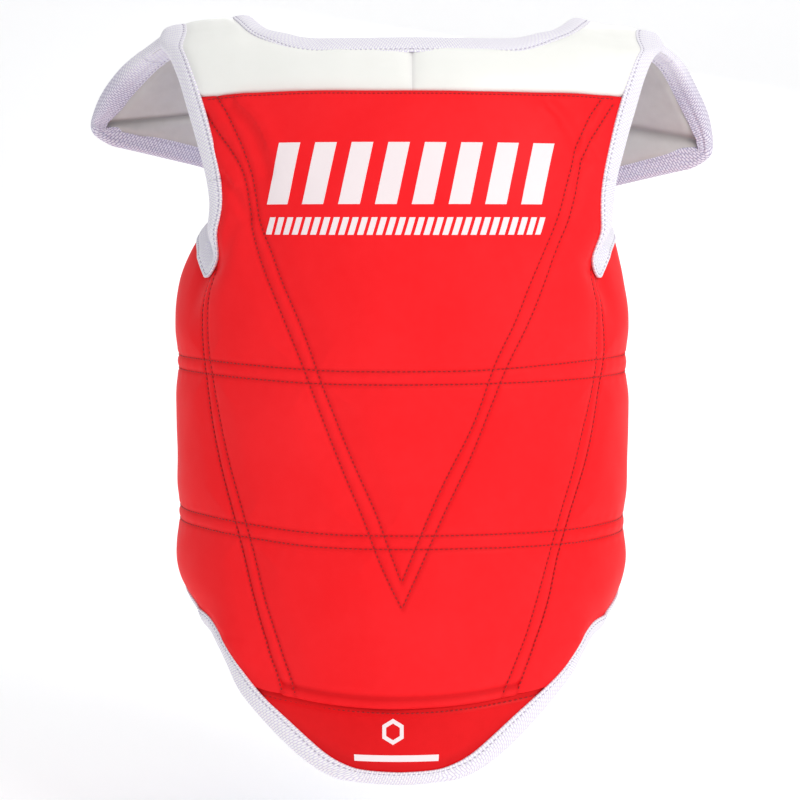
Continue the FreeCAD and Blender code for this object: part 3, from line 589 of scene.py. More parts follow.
QUILT = Near([trunk_line(lines[k]) for lines in (V_IN, V_OUT) for k in (-1, 1)]
             + [trunk_line(lines[k], k) for lines in (D_OUT, D_IN) for k in (-1, 1)]
             + [horizontal_row(row) for row in H_ROWS]
             + [wing_row(sign, deg) for sign, _ in SIDES for deg in WING_ROWS_DEG], 0.25)
WRINKLE = Near([trunk_line(upright(w[0]), 1.0, 80) for w in WRINKLES], 0.5)
WRINKLE_HEIGHT, WRINKLE_WIDTH = (np.array([w[k] for w in WRINKLES]) for k in (1, 2))
PUFF_REACH = 10.5                  # how far from a row the padding takes to fill out


def quilt_relief(points, edge):
    """Height of the quilted cover over its surface; edge is the distance from a bound edge."""
    x, y, z = np.moveaxis(points, -1, 0)
    distance, run, which = QUILT.find(points)
    calm = rise(edge, 8, 9)
    body = 1.7 * (1 - bell(distance, PUFF_REACH)) * calm
    groove = 0.8 * bell(distance, 1.5) * (0.35 + 0.65 * rise(edge, 3, 6))
    ripple = 0.07 * np.sin(run * 2 * math.pi / 10.5 + 1.7 * np.sin(run / 23.0) + which)
    ripple = ripple * bell(distance - 3.5, 3.2) * calm
    # the pads run into the folded seam above the hem without a notch at the diagonal rows
    seam = np.where((z < 90) & (np.abs(x) < 92) & (y < -40), rise(z - hem_seam(x), 1, 13), 1.0)
    body = body * seam + 0.7 * (1 - seam) * calm
    groove = groove * (0.3 + 0.7 * seam)
    out = body - groove + ripple - rise(np.abs(x), 105, 22) * calm
    out = out + (0.55 * waves(points, 11, 95.0) + 0.16 * waves(points, 12, 34.0)) * calm
    distance, _, k = WRINKLE.find(points)
    return out + WRINKLE_HEIGHT[k] * bell(distance, WRINKLE_WIDTH[k]) * rise(edge, 6, 7)


def cover(points, normals, extra=0.0):
    """Outer face of the quilted cover: points, normals, distance from an edge."""
    edge = edge_distance(points)
    height = quilt_relief(points, edge) + extra - trunk_depths(points, edge)[0]
    return points + normals * height[..., None], normals, edge


def trunk_cover(x, h, extra=0.0):
    return cover(*on_trunk(x, h), extra)


def hem_cover(x, z, wave=0.3):
    """Outer face of the hem panel, as cover()."""
    points, normals = on_trunk(x, z)
    edge = edge_distance(points)
    calm = rise(edge, 8, 9)
    below = hem_seam(x) - z
    relief = (0.7 * calm * (1 - bell(below, 9.0)) - 1.2 * bell(below - 0.5, 2.6)
              - 0.5 * bell(below - 3.4, 0.9)
              - 1.6 * (below < 0.2) * fall(below, 0.6, 1.5)
              + wave * waves(points, 21, 60.0) * calm)
    height = relief - trunk_depths(points, edge)[0]
    return points + normals * height[..., None], normals, edge


# ============================================================ materials
def rgb(red, green, blue):
    """sRGB bytes to a linear colour."""
    def linear(c):
        return (c / 255.0) / 12.92 if c <= 10 else ((c / 255.0 + 0.055) / 1.055) ** 2.4
    return (linear(red), linear(green), linear(blue), 1.0)


class Material:
    """A Principled material and the few nodes used here."""
    INPUTS = {"base": "Base Color", "rough": "Roughness", "normal": "Normal",
              "spec": "Specular IOR Level", "sheen": "Sheen Weight",
              "sheen_rough": "Sheen Roughness"}

    def __init__(self, name):
        self.material = bpy.data.materials.new(name)
        self.material.use_nodes = True
        self.tree = self.material.node_tree
        self.tree.nodes.clear()
        output = self.node("OutputMaterial")
        self.shader = self.node("BsdfPrincipled")
        self.put(output.inputs[0], self.shader.outputs[0])

    def put(self, socket, value):
        if isinstance(value, bpy.types.NodeSocket):
            self.tree.links.new(value, socket)
        else:
            socket.default_value = value

    def node(self, kind, **inputs):
        node = self.tree.nodes.new("ShaderNode" + kind)
        for key, value in inputs.items():
            self.put(node.inputs[key], value)
        return node

    def math(self, operation, *values):
        node = self.node("Math")
        node.operation = operation
        for i, value in enumerate(values):
            self.put(node.inputs[i], value)
        return node.outputs[0]

    def add(self, a, b):
        return self.math("ADD", a, b)

    def mul(self, a, b):
        return self.math("MULTIPLY", a, b)

    def abs_sine(self, phase):
        return self.math("ABSOLUTE", self.math("SINE", phase))

    def mix(self, factor, a, b):
        node = self.node("Mix")
        node.data_type = "RGBA"
        for i, value in ((0, factor), (6, a), (7, b)):
            self.put(node.inputs[i], value)
        return node.outputs[2]

    def ramp(self, factor, *stops):
        """Colour ramp of two (position, colour) stops."""
        node = self.node("ValToRGB")
        for element, (position, colour) in zip(node.color_ramp.elements, stops):
            element.position = position
            element.color = colour
        self.put(node.inputs[0], factor)
        return node.outputs[0]

    def coord(self):
        return self.node("TexCoord").outputs["Object"]

    def noise(self, scale, detail=3.0, rough=0.55):
        return self.node("TexNoise", Scale=scale, Detail=detail, Roughness=rough,
                         Vector=self.coord()).outputs["Fac"]

    def voronoi(self, scale, feature):
        node = self.node("TexVoronoi")
        node.feature = feature
        self.put(node.inputs["Scale"], scale)
        self.put(node.inputs["Vector"], self.coord())
        return node.outputs["Distance"]

    def attribute(self, name):
        node = self.node("Attribute")
        node.attribute_name = name
        return node.outputs["Fac"]

    def bump(self, height, strength, dist, **normal):
        return self.node("Bump", Strength=strength, Distance=dist, Height=height,
                         **normal).outputs[0]

    def finish(self, **values):
        for key, value in values.items():
            self.put(self.shader.inputs[self.INPUTS[key]], value)
        return self.material


def leather(name, bright, mid, dark, rough, grain=0.25, spec=0.36):
    """Smooth synthetic leather: pebbled grain, faint creases, mottled, with painted shade in the
    hollows.
    """
    m = Material(name)
    tone = m.ramp(m.add(m.mul(m.noise(scale=9.0), 0.75), m.mul(m.noise(scale=160.0), 0.25)),
                  (0.36, mid), (0.64, bright))
    # painted shade: the dark colour is mixed in where the hollow mask is set, in grooves, seams
    # and folds
    hollow = m.attribute("hollow")
    base = m.mix(m.mul(hollow, 0.55), tone, dark)
    pebble = m.voronoi(scale=1500.0, feature="SMOOTH_F1")
    pores = m.noise(scale=2600.0, detail=2.0)
    normal = m.bump(m.add(m.mul(pebble, 0.7), m.mul(pores, 0.3)), strength=grain, dist=0.00012)
    crease = m.noise(scale=55.0, detail=5.0, rough=0.62)
    normal = m.bump(crease, strength=0.10, dist=0.0016, Normal=normal)
    patchy = m.add(m.mul(m.noise(scale=32.0, detail=4.0), 0.16), rough - 0.08)
    return m.finish(base=base, rough=m.add(patchy, m.mul(hollow, 0.12)), normal=normal,
                    spec=spec)


def ribbed_tape(name, white, lavender, shaded_white, shaded_lavender):
    """Woven binding: short raised floats in slanted rows, each row shifted by half a float, with
    painted shade in the weave's low parts and shaded copies of its colours.
    """
    row_pitch, float_pitch, slant = 1.55, 2.7, 0.34
    m = Material(name)
    wobble = m.mul(m.math("SUBTRACT", m.noise(scale=220.0, detail=2.0), 0.5), 0.30)
    along, across = m.add(m.attribute("tape_u"), wobble), m.attribute("tape_v")
    rows = m.math("DIVIDE", m.add(along, m.mul(across, slant)), row_pitch)
    row = m.math("FLOOR", rows)
    rib = m.abs_sine(m.mul(rows, math.pi))
    floats = m.add(m.math("DIVIDE", across, float_pitch),
                   m.mul(m.math("MODULO", row, 2.0), 0.5))
    bead = m.abs_sine(m.mul(floats, math.pi))
    height = m.mul(m.math("POWER", rib, 0.7),
                   m.math("POWER", m.add(m.mul(bead, 0.85), 0.15), 0.6))
    fuzz = m.noise(scale=1000.0)
    # painted shade: the weave's low parts take the lavender colour
    tone = m.add(m.mul(height, 0.85), m.mul(m.math("SUBTRACT", fuzz, 0.5), 0.25))
    # painted shade: where tape_shade is set, the shaded copies of both colours take over
    base = m.mix(m.attribute("tape_shade"), m.ramp(tone, (0.12, lavender), (0.58, white)),
                 m.ramp(tone, (0.12, shaded_lavender), (0.58, shaded_white)))
    normal = m.bump(m.add(height, m.mul(fuzz, 0.2)), strength=0.6, dist=0.00035)
    return m.finish(base=base, rough=0.75, normal=normal, spec=0.2, sheen=0.15,
                    sheen_rough=0.5)


def webbing(name, light, dark, pitch, rib):
    """Flat woven webbing: lengthwise cords (rib) crossed by weft (pitch), in mm."""
    m = Material(name)
    along, across = m.attribute("tape_u"), m.attribute("tape_v")
    row = m.math("FLOOR", m.math("DIVIDE", across, rib / 2))
    phase = m.add(along, m.mul(m.math("MODULO", row, 2.0), pitch / 2))
    weft = m.add(m.mul(m.math("SINE", m.mul(phase, 2 * math.pi / pitch)), 0.5), 0.5)
    cord = m.abs_sine(m.mul(across, 2 * math.pi / rib))
    height = m.mul(m.add(m.mul(weft, 0.6), 0.4), m.add(m.mul(cord, 0.6), 0.4))
    fuzz = m.noise(scale=1100.0)
    # painted shade: the low parts of the weave take the dark colour
    base = m.ramp(m.add(m.mul(height, 0.8), m.mul(fuzz, 0.25)), (0.15, dark), (0.75, light))
    normal = m.bump(m.add(height, m.mul(fuzz, 0.2)), strength=0.8, dist=0.0004)
    return m.finish(base=base, rough=0.8, normal=normal, spec=0.2, sheen=0.2, sheen_rough=0.5)


def thread(name, light, dark):
    m = Material(name)
    twist = m.noise(scale=1600.0, detail=2.0)
    return m.finish(base=m.mix(twist, dark, light), rough=0.55, spec=0.35, sheen=0.15,
                    normal=m.bump(twist, strength=0.5, dist=0.0001))


def print_ink():
    m = Material("white_print")
    base = m.mix(m.noise(scale=22.0), rgb(255, 243, 244), rgb(250, 236, 238))
    return m.finish(base=base, rough=0.55, spec=0.3,
                    normal=m.bump(m.noise(scale=420.0), strength=0.15, dist=0.0002))


def hook_tape():
    m = Material("hook_and_loop")
    fuzz = m.noise(scale=700.0, detail=4.0)
    height = m.add(m.voronoi(scale=1400.0, feature="F1"), fuzz)
    return m.finish(base=m.mix(fuzz, rgb(226, 226, 230), rgb(180, 180, 190)), rough=0.95,
                    spec=0.1, sheen=0.5, normal=m.bump(height, strength=0.9, dist=0.0006))


def ring_plastic():
    m = Material("ring_plastic_white")
    mottle = m.noise(scale=260.0)
    return m.finish(base=m.mix(mottle, rgb(242, 242, 244), rgb(230, 230, 234)),
                    rough=m.add(m.mul(mottle, 0.12), 0.24), spec=0.5,
                    normal=m.bump(mottle, strength=0.06, dist=0.0003))


# the third colour of each leather is painted shade for its hollows
RED = leather("red_leather", rgb(255, 40, 46), rgb(252, 32, 38), rgb(176, 6, 14),
              rough=0.5, spec=0.06)
# a darker copy of the red leather: painted shade on the hem panel
HEM_RED = leather("red_leather_hem", rgb(238, 22, 28), rgb(228, 16, 22), rgb(150, 4, 10),
                  rough=0.46, spec=0.12)
VINYL = leather("white_vinyl", rgb(252, 252, 247), rgb(249, 249, 243), rgb(214, 208, 214),
                rough=0.38, grain=0.16)
# off-white lining, its colour darkened to grey as painted shade inside the flaps and yoke
LINING_VINYL = leather("white_lining_vinyl", rgb(212, 208, 204), rgb(198, 193, 189),
                       rgb(118, 110, 108), rough=0.5, grain=0.2)
BLUE = leather("blue_lining_leather", rgb(36, 70, 190), rgb(28, 58, 172), rgb(12, 26, 96),
               rough=0.45)
BINDING = ribbed_tape("ribbed_binding_tape", rgb(255, 254, 255), rgb(222, 213, 238),
                      rgb(240, 236, 246), rgb(160, 148, 184))
PRINT = print_ink()
# the thread is the cover's red; its darker colour is painted shade of the stitch holes
RED_THREAD = thread("red_thread", rgb(188, 12, 20), rgb(128, 4, 10))
# white thread, coloured grey as painted shade
WHITE_THREAD = thread("grey_white_thread", rgb(214, 208, 222), rgb(168, 160, 180))
thread("blue_thread", rgb(30, 50, 150), rgb(14, 26, 90))   # spare: no piece uses it
STRAP_WEB = webbing("elastic_webbing", rgb(246, 246, 248), rgb(196, 194, 206),
                    pitch=1.5, rib=2.2)
BELT_WEB = webbing("belt_webbing", rgb(244, 244, 246), rgb(198, 196, 206), pitch=1.8, rib=3.0)
HOOK = hook_tape()
RING = ring_plastic()


# ============================================================ how the piece sits
def settle(points):
    """The small shifts of a worn piece: a function of place, so that pieces stay together."""
    x, y, z = points.T
    across = np.abs(x)
    angle = np.arctan2(across / HALF_W, -y / HALF_D)
    s = s_of_angle(angle)
    low = fall(z, 358, 40)
    from_top = np.abs(wing_top(np.clip(s, 0, S_END)) - z)
    # each side wing tucks in under the arm and rises steeply from the armhole's bottom
    tuck = 6.5 * fall(from_top, 52, 38) * rise(s, -18, 25) * fall(np.degrees(angle), 122, 22)
    shift = -radial(points) * (tuck * low)[:, None]
    shift[:, 2] += 8.0 * rise(s, 0, 18) * fall(s, 80, 62) * fall(from_top, 48, 48) * low
    # upper trunk and hem
    up = rise(z, 335, 20)
    front = np.where(z > 200, fall(y, -44, 12) * (1 - up) + up * fall(y, 8, 26),
                     fall(y, -30, 15))
    shift[:, 0] += widen_at(x, z) * front + lean_at(x, z) * fall(y, 65, 45)
    shift[:, 2] -= 2.9 * fall(z, 50, 50) * (y < -60)
    shift[:, 2] -= 5.0 * rise(x, 100, 30) * fall(z, 130, 45) * fall(y, 70, 50)
    # the crest sags at the shoulders, the neck edge stands up in the middle
    sag = 2.5 * rise(across, 70, 25) + 1.5 * rise(across, 100, 20) + 3.5 * rise(x, 85, 35)
    shift[:, 2] += 3.0 * rise(z, 434, 11) * fall(across, 88, 30) - rise(z, 422, 25) * sag
    # the flaps hang a little unevenly
    left = -5.0 * rise(y, 15, 42) - 5.0 * fall(z, 402, 24) * (y > 40)
    right = 4.5 * fall(z, 400, 20) * (y > 40)
    shift[:, 2] += np.where(x > 0, left, right) * rise(across, 95, 42) * (z > 350)
    return points + shift


ARM_CORNER = trunk(*ARM_EDGE(1.0))  # bottom of the armhole on the side fold


def near_corner(points, radius):
    """1 at the bottom of either armhole, falling to 0 over about radius."""
    folded = np.concatenate([np.abs(points[..., :1]), points[..., 1:]], -1)
    return np.exp(-((folded - ARM_CORNER) ** 2).sum(-1) / radius ** 2)


# ============================================================ mesh helpers
def new_mesh(name, points, faces, attributes):
    mesh = bpy.data.meshes.new(name)
    mesh.from_pydata((settle(points) * MM).tolist(), [], faces)
    mesh.update()
    for key, values in attributes.items():
        layer = mesh.attributes.new(key, "FLOAT", "POINT")
        layer.data.foreach_set("value", np.asarray(values, np.float32).ravel())
    return mesh


def link_object(name, data):
    obj = bpy.data.objects.new(name, data)
    bpy.context.scene.collection.objects.link(obj)
    return obj


def finish(obj, attach, slot, *replaced):
    attach(obj)
    if replaced:
        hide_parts(*replaced)


def make(name, points, faces, material, attributes, sharp=48.0):
    """Object from points in mm; faces turned outwards by the sign of the closed volume."""
    if material is RED:
        # the cover is pinched under the tape at the bottom of the armhole
        points = points - radial(points) * (2.0 * near_corner(points, 8.0))[:, None]
    triangles = np.array([(f[0], f[k], f[k + 1]) for f in faces for k in range(1, len(f) - 1)])
    a, b, c = (points[triangles[:, k]] - points.mean(0) for k in range(3))
    if (a * np.cross(b, c)).sum() < 0:
        faces = [f[::-1] for f in faces]
    mesh = new_mesh(name, points, faces, attributes)
    mesh.polygons.foreach_set("use_smooth", [True] * len(mesh.polygons))
    mesh.set_sharp_from_angle(angle=math.radians(sharp))
    mesh.materials.append(material)
    return link_object(name, mesh)


def slab_faces(n, m):
    """Front, back and rim of two n by m grids."""
    i, j = grid(np.arange(n - 1), np.arange(m - 1))
    a = (i * m + j).ravel()
    front = np.stack([a, a + m, a + m + 1, a + 1], -1)
    back = n * m
    parts = [front, front[:, ::-1] + back]
    i, j = np.arange(n - 1), np.arange(m - 1)
    for p, q in ((i * m, (i + 1) * m), ((i + 1) * m + m - 1, i * m + m - 1),
                 (j + 1, j), ((n - 1) * m + j, (n - 1) * m + j + 1)):
        parts.append(np.stack([q, p, p + back, q + back], -1))
    return np.concatenate(parts)


def slab(name, front, back, material, attributes):
    points = np.concatenate([front.reshape(-1, 3), back.reshape(-1, 3)])
    attributes = {key: np.tile(values.ravel(), 2) for key, values in attributes.items()}
    return make(name, points, slab_faces(*front.shape[:2]).tolist(), material, attributes)


def sheet(name, face, offset, material, hollow, attach, slot, *replaced):
    """Leather from its visible face and the offset to its hidden one."""
    obj = slab(name, face, face + offset, material, {"hollow": hollow})
    finish(obj, attach, slot, *replaced)


# ============================================================ bodies the pieces ride on; the bends only bake the transform
HINGE_DIR = unit(np.array([HALF_W * math.cos(HINGE_ANGLE), HALF_D * math.sin(HINGE_ANGLE), 0.0]))
HINGE = np.array([127.84, -46.59, 200.0])
FOLD = tip(0.5, 0.0)
FOLD_DIR = unit(tip(0.5, 0.12) - flap(0.5, 0.88))


def ride(body):
    return lambda obj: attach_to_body(obj, body)


ride_torso = ride("torso")


def blend(start, end, sign):
    start, end = (tuple(mirror(p, sign) * MM) for p in (start, end))
    return lambda obj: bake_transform(obj)


def bend_side(sign):
    return blend(HINGE - HINGE_DIR * 12.0, HINGE + HINGE_DIR * 30.0,
                 sign)


def bend_crest():
    return lambda obj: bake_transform(obj)


def bend_fold(sign):
    return blend(FOLD - FOLD_DIR * 13.0,
                 FOLD + FOLD_DIR * 13.0, sign)


# ============================================================ red panels
def edge_shade(edge, width=3.5):
    """Painted shade: a soft dark band beside the tape."""
    return 0.30 * bell(edge - 10.5, width)


def quilt_shade(points, edge):
    # painted shade along the quilt rows and beside the tape
    return np.clip(0.5 * bell(QUILT(points), 1.2) + edge_shade(edge), 0, 1)


def chest_edge(sign):
    """x of the chest panel's side edge by height: the outer diagonal, then the armhole."""
    table = [(h, x) for x, h in D_OUT[sign][::-1]]
    table += [(h, arm_x(h)) for h in (318.0, 330.0, 345.0, 360.0, 375.0, 390.0, 400.0, 408.0)]
    return Spline(*zip(*table))


CHEST_EDGE = {sign: chest_edge(sign) for sign, _ in SIDES}


def chest_panel():
    top = SEAM_H + 0.2
    u, v = grid(shares(206), shares(300))
    h = CHEST_BOTTOM + (top - CHEST_BOTTOM) * v
    x = -CHEST_EDGE[-1](h) * (1 - u) + CHEST_EDGE[1](h) * u
    bottom = hem_seam(x) - 0.6
    h = h + (bottom - CHEST_BOTTOM) * (1 - v) ** 6
    # the folded lower edge stands as a ridge, the upper edge rolls into the yoke seam
    above, below = h - bottom, top - h
    ridge = 1.15 * bell(above - 1.7, 1.9) - 1.3 * bell(above - 6.2, 2.0) - 0.8 * bell(above, 0.5)
    roll = -1.0 * bell(below, 0.9) - 0.45 * bell(below - 2.0, 1.2)
    face, normals, edge = trunk_cover(x, h, ridge + roll)
    # painted shade in the quilt rows, beside the tape, in the groove above the folded lower edge
    # and in the yoke seam
    hollow = np.maximum(quilt_shade(trunk(x, h), edge), 0.8 * bell(above - 5.8, 1.8))
    hollow = np.maximum(hollow, 0.7 * bell(below, 1.4))
    thickness = np.where(above < 4.0, 1.5, LEATHER_T)
    sheet("chest_panel", face, -normals * thickness[..., None], RED, hollow, ride_torso,
          "red_cover", "chest_cover", "chest_foam_outer", "chest_foam_inner")


def hem_panel():
    x, v = grid(np.linspace(-100, 100, 150), shares(46))
    low = hem_z(np.abs(x))
    z = low + (np.maximum(hem_seam(x) + 2.2, low + 1.0) - low) * v
    face, normals, edge = hem_cover(x, z)
    below = hem_seam(x) - z
    # painted shade under the folded seam and beside the tape
    hollow = np.clip(0.5 * bell(below - 1.4, 1.8) + edge_shade(edge), 0, 1)
    sheet("hem_panel", face, -normals * LEATHER_T, HEM_RED, hollow, ride_torso,
          "red_cover", "hem_cover", "hem_foam")


def patch(bottom, top, left, right, columns, rows):
    """Coons patch between four curves, as two parameter grids."""
    us, vs = shares(columns), shares(rows)
    u, v = (k[..., None] for k in grid(us, vs))
    edges = ((1 - v) * bottom(us)[:, None] + v * top(us)[:, None]
             + (1 - u) * left(vs)[None] + u * right(vs)[None])
    corners = ((1 - u) * (1 - v) * bottom(0.0) + u * (1 - v) * bottom(1.0)
               + (1 - u) * v * top(0.0) + u * v * top(1.0))
    return np.moveaxis(edges - corners, -1, 0)


def side_panel(sign, side):
    """From the outer diagonal row to the rear edge of the wing."""
    diagonal = [(s_of_x(x), h) for x, h in D_OUT[sign][::-1]]
    bottom = [diagonal[0]] + [(s_of_x(x), hem_seam(x)) for x in (76.0, 84.0)]
    bottom += [(s_of_x(x), hem_z(x) + lift) for x, lift in
               ((92.0, 6.5), (98.0, 2.0), (105.0, 0.3), (112.0, 0), (120.0, 0))]
    top = [diagonal[-1], (s_of_x(122.6), 306.2), (s_of_x(124.6), 305.4)]
    s, z = patch(path(bottom + WING_BOTTOMS[:HALF_CORNER + 1]),
                 path(top + WING_TOPS[:HALF_CORNER + 1]), path(diagonal), REAR_EDGE, 190, 160)
    points, normals = on_girdle(s, z, sign)
    face, _, edge = cover(points, normals)
    # painted shade in the quilt rows and beside the tape
    sheet("side_panel_" + side, face, -normals * LEATHER_T, RED, quilt_shade(points, edge),
          bend_side(sign), "red_cover", "wing_cover_" + side, "wing_foam_" + side)


chest_panel()
hem_panel()
for sign, side in SIDES:
    side_panel(sign, side)

# ============================================================ white yoke and flaps
YOKE_OUT = path([(x, SEAM_H) for x in (0.0, 15, 32, 50, 70, 90, 108, 118)]
                + [(123.5, SEAM_H + 0.2), (127.5, SEAM_H + 1.2), (130.2, SEAM_H + 3.6),
                   (131.4, SEAM_H + 7.0)]
                + [(arm_x(h), h) for h in (420, 430, 440, 452, 464, 478, 492, 505)]
                + [(152.0, CREST_H - 0.2)])
YOKE_IN = path(NECK[:-1] + [(99.0, CREST_H - 0.2)])


def yoke(sign, side):
    """Yoke fan and the first part of the flap, cover and lining."""
    attach = bend_crest()
    u, v = shares(150), shares(52)
    x, h = np.moveaxis(YOKE_IN(u ** 0.95)[:, None] * (1 - v[None, :, None])
                       + YOKE_OUT(u)[:, None] * v[None, :, None], -1, 0)
    b, a = grid(np.linspace(0.0, FLAP_SEAM, 22), v)
    points, normals = on_trunk(x, h, sign)
    flap_points, flap_normals = mirror(flap(a, b), sign), mirror(flap_frame(a, b)[2], sign)
    all_normals = np.concatenate([normals, flap_normals])
    edge, flap_edge = edge_distance(points), flap_edge_distance(flap(a, b))
    seam = seam_distance(flap(a, b))
    calm, flap_calm = rise(edge, 8, 9), rise(flap_edge, 8, 8)
    outer, inner = trunk_depths(points, edge)
    flap_outer, flap_inner = flap_depths(flap_points, flap_edge)

    above = np.maximum(h - SEAM_H, 0)
    on_seam = bell(above, 1.3) * (x < 128)
    relief = 1.5 * calm * (1 - bell(above, 7.0)) * (1 - 0.9 * bell(x, 5.0))
    relief = relief - 1.7 * on_seam - 0.7 * bell(x, 1.1)
    relief = relief + (0.35 * waves(points, 31, 70.0) + 0.12 * waves(points, 32, 26.0)) * calm
    cut = bell(seam, 1.6)
    flap_relief = 1.5 * flap_calm - 1.6 * cut + 0.3 * waves(flap_points, 31, 70.0) * flap_calm
    face = np.concatenate([points + normals * (relief - outer)[..., None],
                           flap_points + flap_normals * (flap_relief - flap_outer)[..., None]])
    # painted shade in the seams, beside the tape and in the flap's seam
    hollow = np.concatenate([0.8 * on_seam + 0.5 * bell(x, 1.6) + edge_shade(edge, 3.0),
                             0.9 * cut + 0.3 * bell(flap_edge - 9.0, 3.0)])
    sheet("yoke_" + side, face, -all_normals * VINYL_T, VINYL, np.clip(hollow, 0, 1), attach,
          "white_vinyl", "yoke_cover_" + side, "yoke_foam_" + side)

    cut = bell(seam, 2.2)
    depth = inner + 0.9 * calm - 0.3
    flap_depth = flap_inner + 1.2 * flap_calm * (1 - bell(seam, 7.0)) - 1.4 * cut
    face = np.concatenate([points - normals * depth[..., None],
                           flap_points - flap_normals * flap_depth[..., None]])
    # painted shade beside the tape and in the flap's seam
    hollow = np.concatenate([0.2 * bell(edge - 10.5, 3.0),
                             np.clip(0.9 * cut + 0.4 * bell(flap_edge - 9.0, 3.0), 0, 1)])
    sheet("yoke_lining_pad_" + side, face, all_normals * LINING_T, LINING_VINYL, hollow,
          attach, "white_lining", "yoke_lining_" + side)


def flap_pads(sign, side):
    """Rest of the flap and its tip, cover and lining."""
    attach = bend_fold(sign)
    across = shares(70)
    a, b = grid(across, np.linspace(FLAP_SEAM, 1.0, 56))
    # columns of the flap turn into the tip's columns below the fold line
    ends = sample(np.array(TIP_COLUMNS), shares(len(TIP_COLUMNS)), across)
    down = shares(40)[1:]
    tip_a = across[:, None] * (1 - down) + ends[:, :1] * down
    tip_b = ends[:, 1:] * down
    points = np.concatenate([flap(a, b), tip(tip_a, tip_b)], 1)
    normals = np.concatenate([flap_frame(a, b)[2], tip_frame(tip_a, tip_b)[2]], 1)
    edge, fold, seam = (near(points) for near in (flap_edge_distance, fold_distance,
                                                  seam_distance))
    points, normals = mirror(points, sign), mirror(normals, sign)
    outer, inner = flap_depths(points, edge)
    wave = 0.4 * waves(points, 41, 55.0) + 0.15 * waves(points, 42, 22.0)

    calm = rise(edge, 7, 8)
    relief = 1.6 * calm - 0.9 * bell(fold, 2.2) - 1.6 * bell(seam, 1.6) + wave * calm
    # painted shade in the fold, the seam and beside the tape
    hollow = 0.6 * bell(fold, 2.4) + 0.9 * bell(seam, 1.8) + 0.3 * bell(edge - 9.0, 3.0)
    sheet("flap_pad_" + side, points + normals * (relief - outer)[..., None],
          -normals * VINYL_T, VINYL, np.clip(hollow, 0, 1), attach, "white_vinyl",
          *(name + side for name in ("flap_cover_", "flap_foam_", "flap_tip_cover_",
                                     "flap_tip_foam_")))

    calm = rise(edge, 7, 9)
    x, _, z = np.moveaxis(points, -1, 0)
    ripples = 0.95 * np.sin(z / 5.2 + 0.9 * np.sin(x / 17.0) + 2.0) * bell(fold - 16, 15.0)
    relief = (2.6 * calm * (1 - bell(fold, 8.0)) * (1 - bell(seam, 8.0)) + ripples * calm
              - 1.3 * bell(fold, 2.4) - 1.3 * bell(seam, 2.0) + wave * calm * 0.8)
    # painted shade in the fold, the seam and beside the tape
    hollow = 0.95 * bell(fold, 2.8) + 0.9 * bell(seam, 2.2) + 0.55 * bell(edge - 8.5, 4.0)
    sheet("flap_lining_pad_" + side, points - normals * (inner + relief)[..., None],
          normals * LINING_T, LINING_VINYL, np.clip(hollow, 0, 1), attach, "white_lining",
          "flap_lining_" + side, "flap_tip_lining_" + side)


for sign, side in SIDES:
    yoke(sign, side)
    flap_pads(sign, side)


# ============================================================ blue lining
def lining(name, points, normals, from_seam, extra, attach, replaced):
    edge = edge_distance(points)
    distance = QUILT(points)
    calm = rise(edge, 8, 9)
    puff = (1.6 * calm * (1 - bell(distance, PUFF_REACH)) - 0.9 * bell(distance, 1.6)
            + 0.4 * waves(points, 51, 80.0) * calm - 1.2 * bell(from_seam, 1.6) + extra)
    face = points - normals * (trunk_depths(points, edge)[1] + puff)[..., None]
    # painted shade in the quilt rows, beside the tape and in the seam
    hollow = np.maximum(quilt_shade(points, edge), 0.9 * bell(from_seam, 2.0))
    sheet(name, face, normals * LINING_T, BLUE, hollow, attach, "blue_lining", replaced)


def centre_lining():
    x, v = grid(np.linspace(-LINING_SEAM_X, LINING_SEAM_X, 150), shares(230))
    low = hem_z(np.abs(x))
    lining("torso_lining_centre", *on_trunk(x, low + (SEAM_H - low) * v),
           LINING_SEAM_X - np.abs(x), 0.0, ride_torso, "torso_lining")


def shoulder_lining(sign, side):
    """Upper part beside the armhole."""
    h, v = grid(np.linspace(LINING_SEAM_H, SEAM_H, 64), shares(22))
    x = LINING_SEAM_X + (arm_x(h) - LINING_SEAM_X) * v
    lining("torso_lining_shoulder_" + side, *on_trunk(x, h, sign), x - LINING_SEAM_X,
           -1.0 * bell(h - LINING_SEAM_H, 1.6), ride_torso, "torso_lining")


def side_lining(sign, side):
    start = s_of_x(LINING_SEAM_X)
    bottom = [(s_of_x(x), hem_z(x)) for x in (LINING_SEAM_X, 106.0, 112.0, 120.0)]
    top = [(start, LINING_SEAM_H)] + [(s_of_x(x), z) for x, z in
           ((108, LINING_SEAM_H), (115, 310.6), (120.4, 309.4), (122.6, 306.6))]
    s, z = patch(path(bottom + WING_BOTTOMS[:HALF_CORNER + 1]),
                 path(top + WING_TOPS[:HALF_CORNER + 1]),
                 path([bottom[0], (start, 180.0), top[0]]), REAR_EDGE, 150, 130)
    lining("side_lining_" + side, *on_girdle(s, z, sign), s - start, 0.0,
           bend_side(sign), "wing_lining_" + side)


centre_lining()
for sign, side in SIDES:
    shoulder_lining(sign, side)
    side_lining(sign, side)


# ============================================================ stitches
def stitch_template(length, radius, bow, around=6, rings=5):
    """A short stitch: bowed spindle."""
    points = [(-1.08, 0, -bow * 0.6)]
    for x in np.linspace(-1, 1, rings) * 0.86:
        r = math.sqrt(max(1 - (x * 0.92) ** 2, 0.02))
        for j in range(around):
            angle = 2 * math.pi * j / around
            points.append((x, math.cos(angle) * r, math.sin(angle) * r))
    x, y, z = np.array(points + [(1.08, 0, -bow * 0.6)]).T
    faces = []
    last = 1 + (rings - 1) * around
    for j in range(around):
        k = (j + 1) % around
        faces.append((0, 1 + k, 1 + j))
        for a in range(1, last, around):
            faces.append((a + j, a + k, a + around + k, a + around + j))
        faces.append((last + j, last + k, last + around))
    return np.stack([x * length / 2, y * radius, z * radius + bow * (1 - x ** 2)], -1), faces


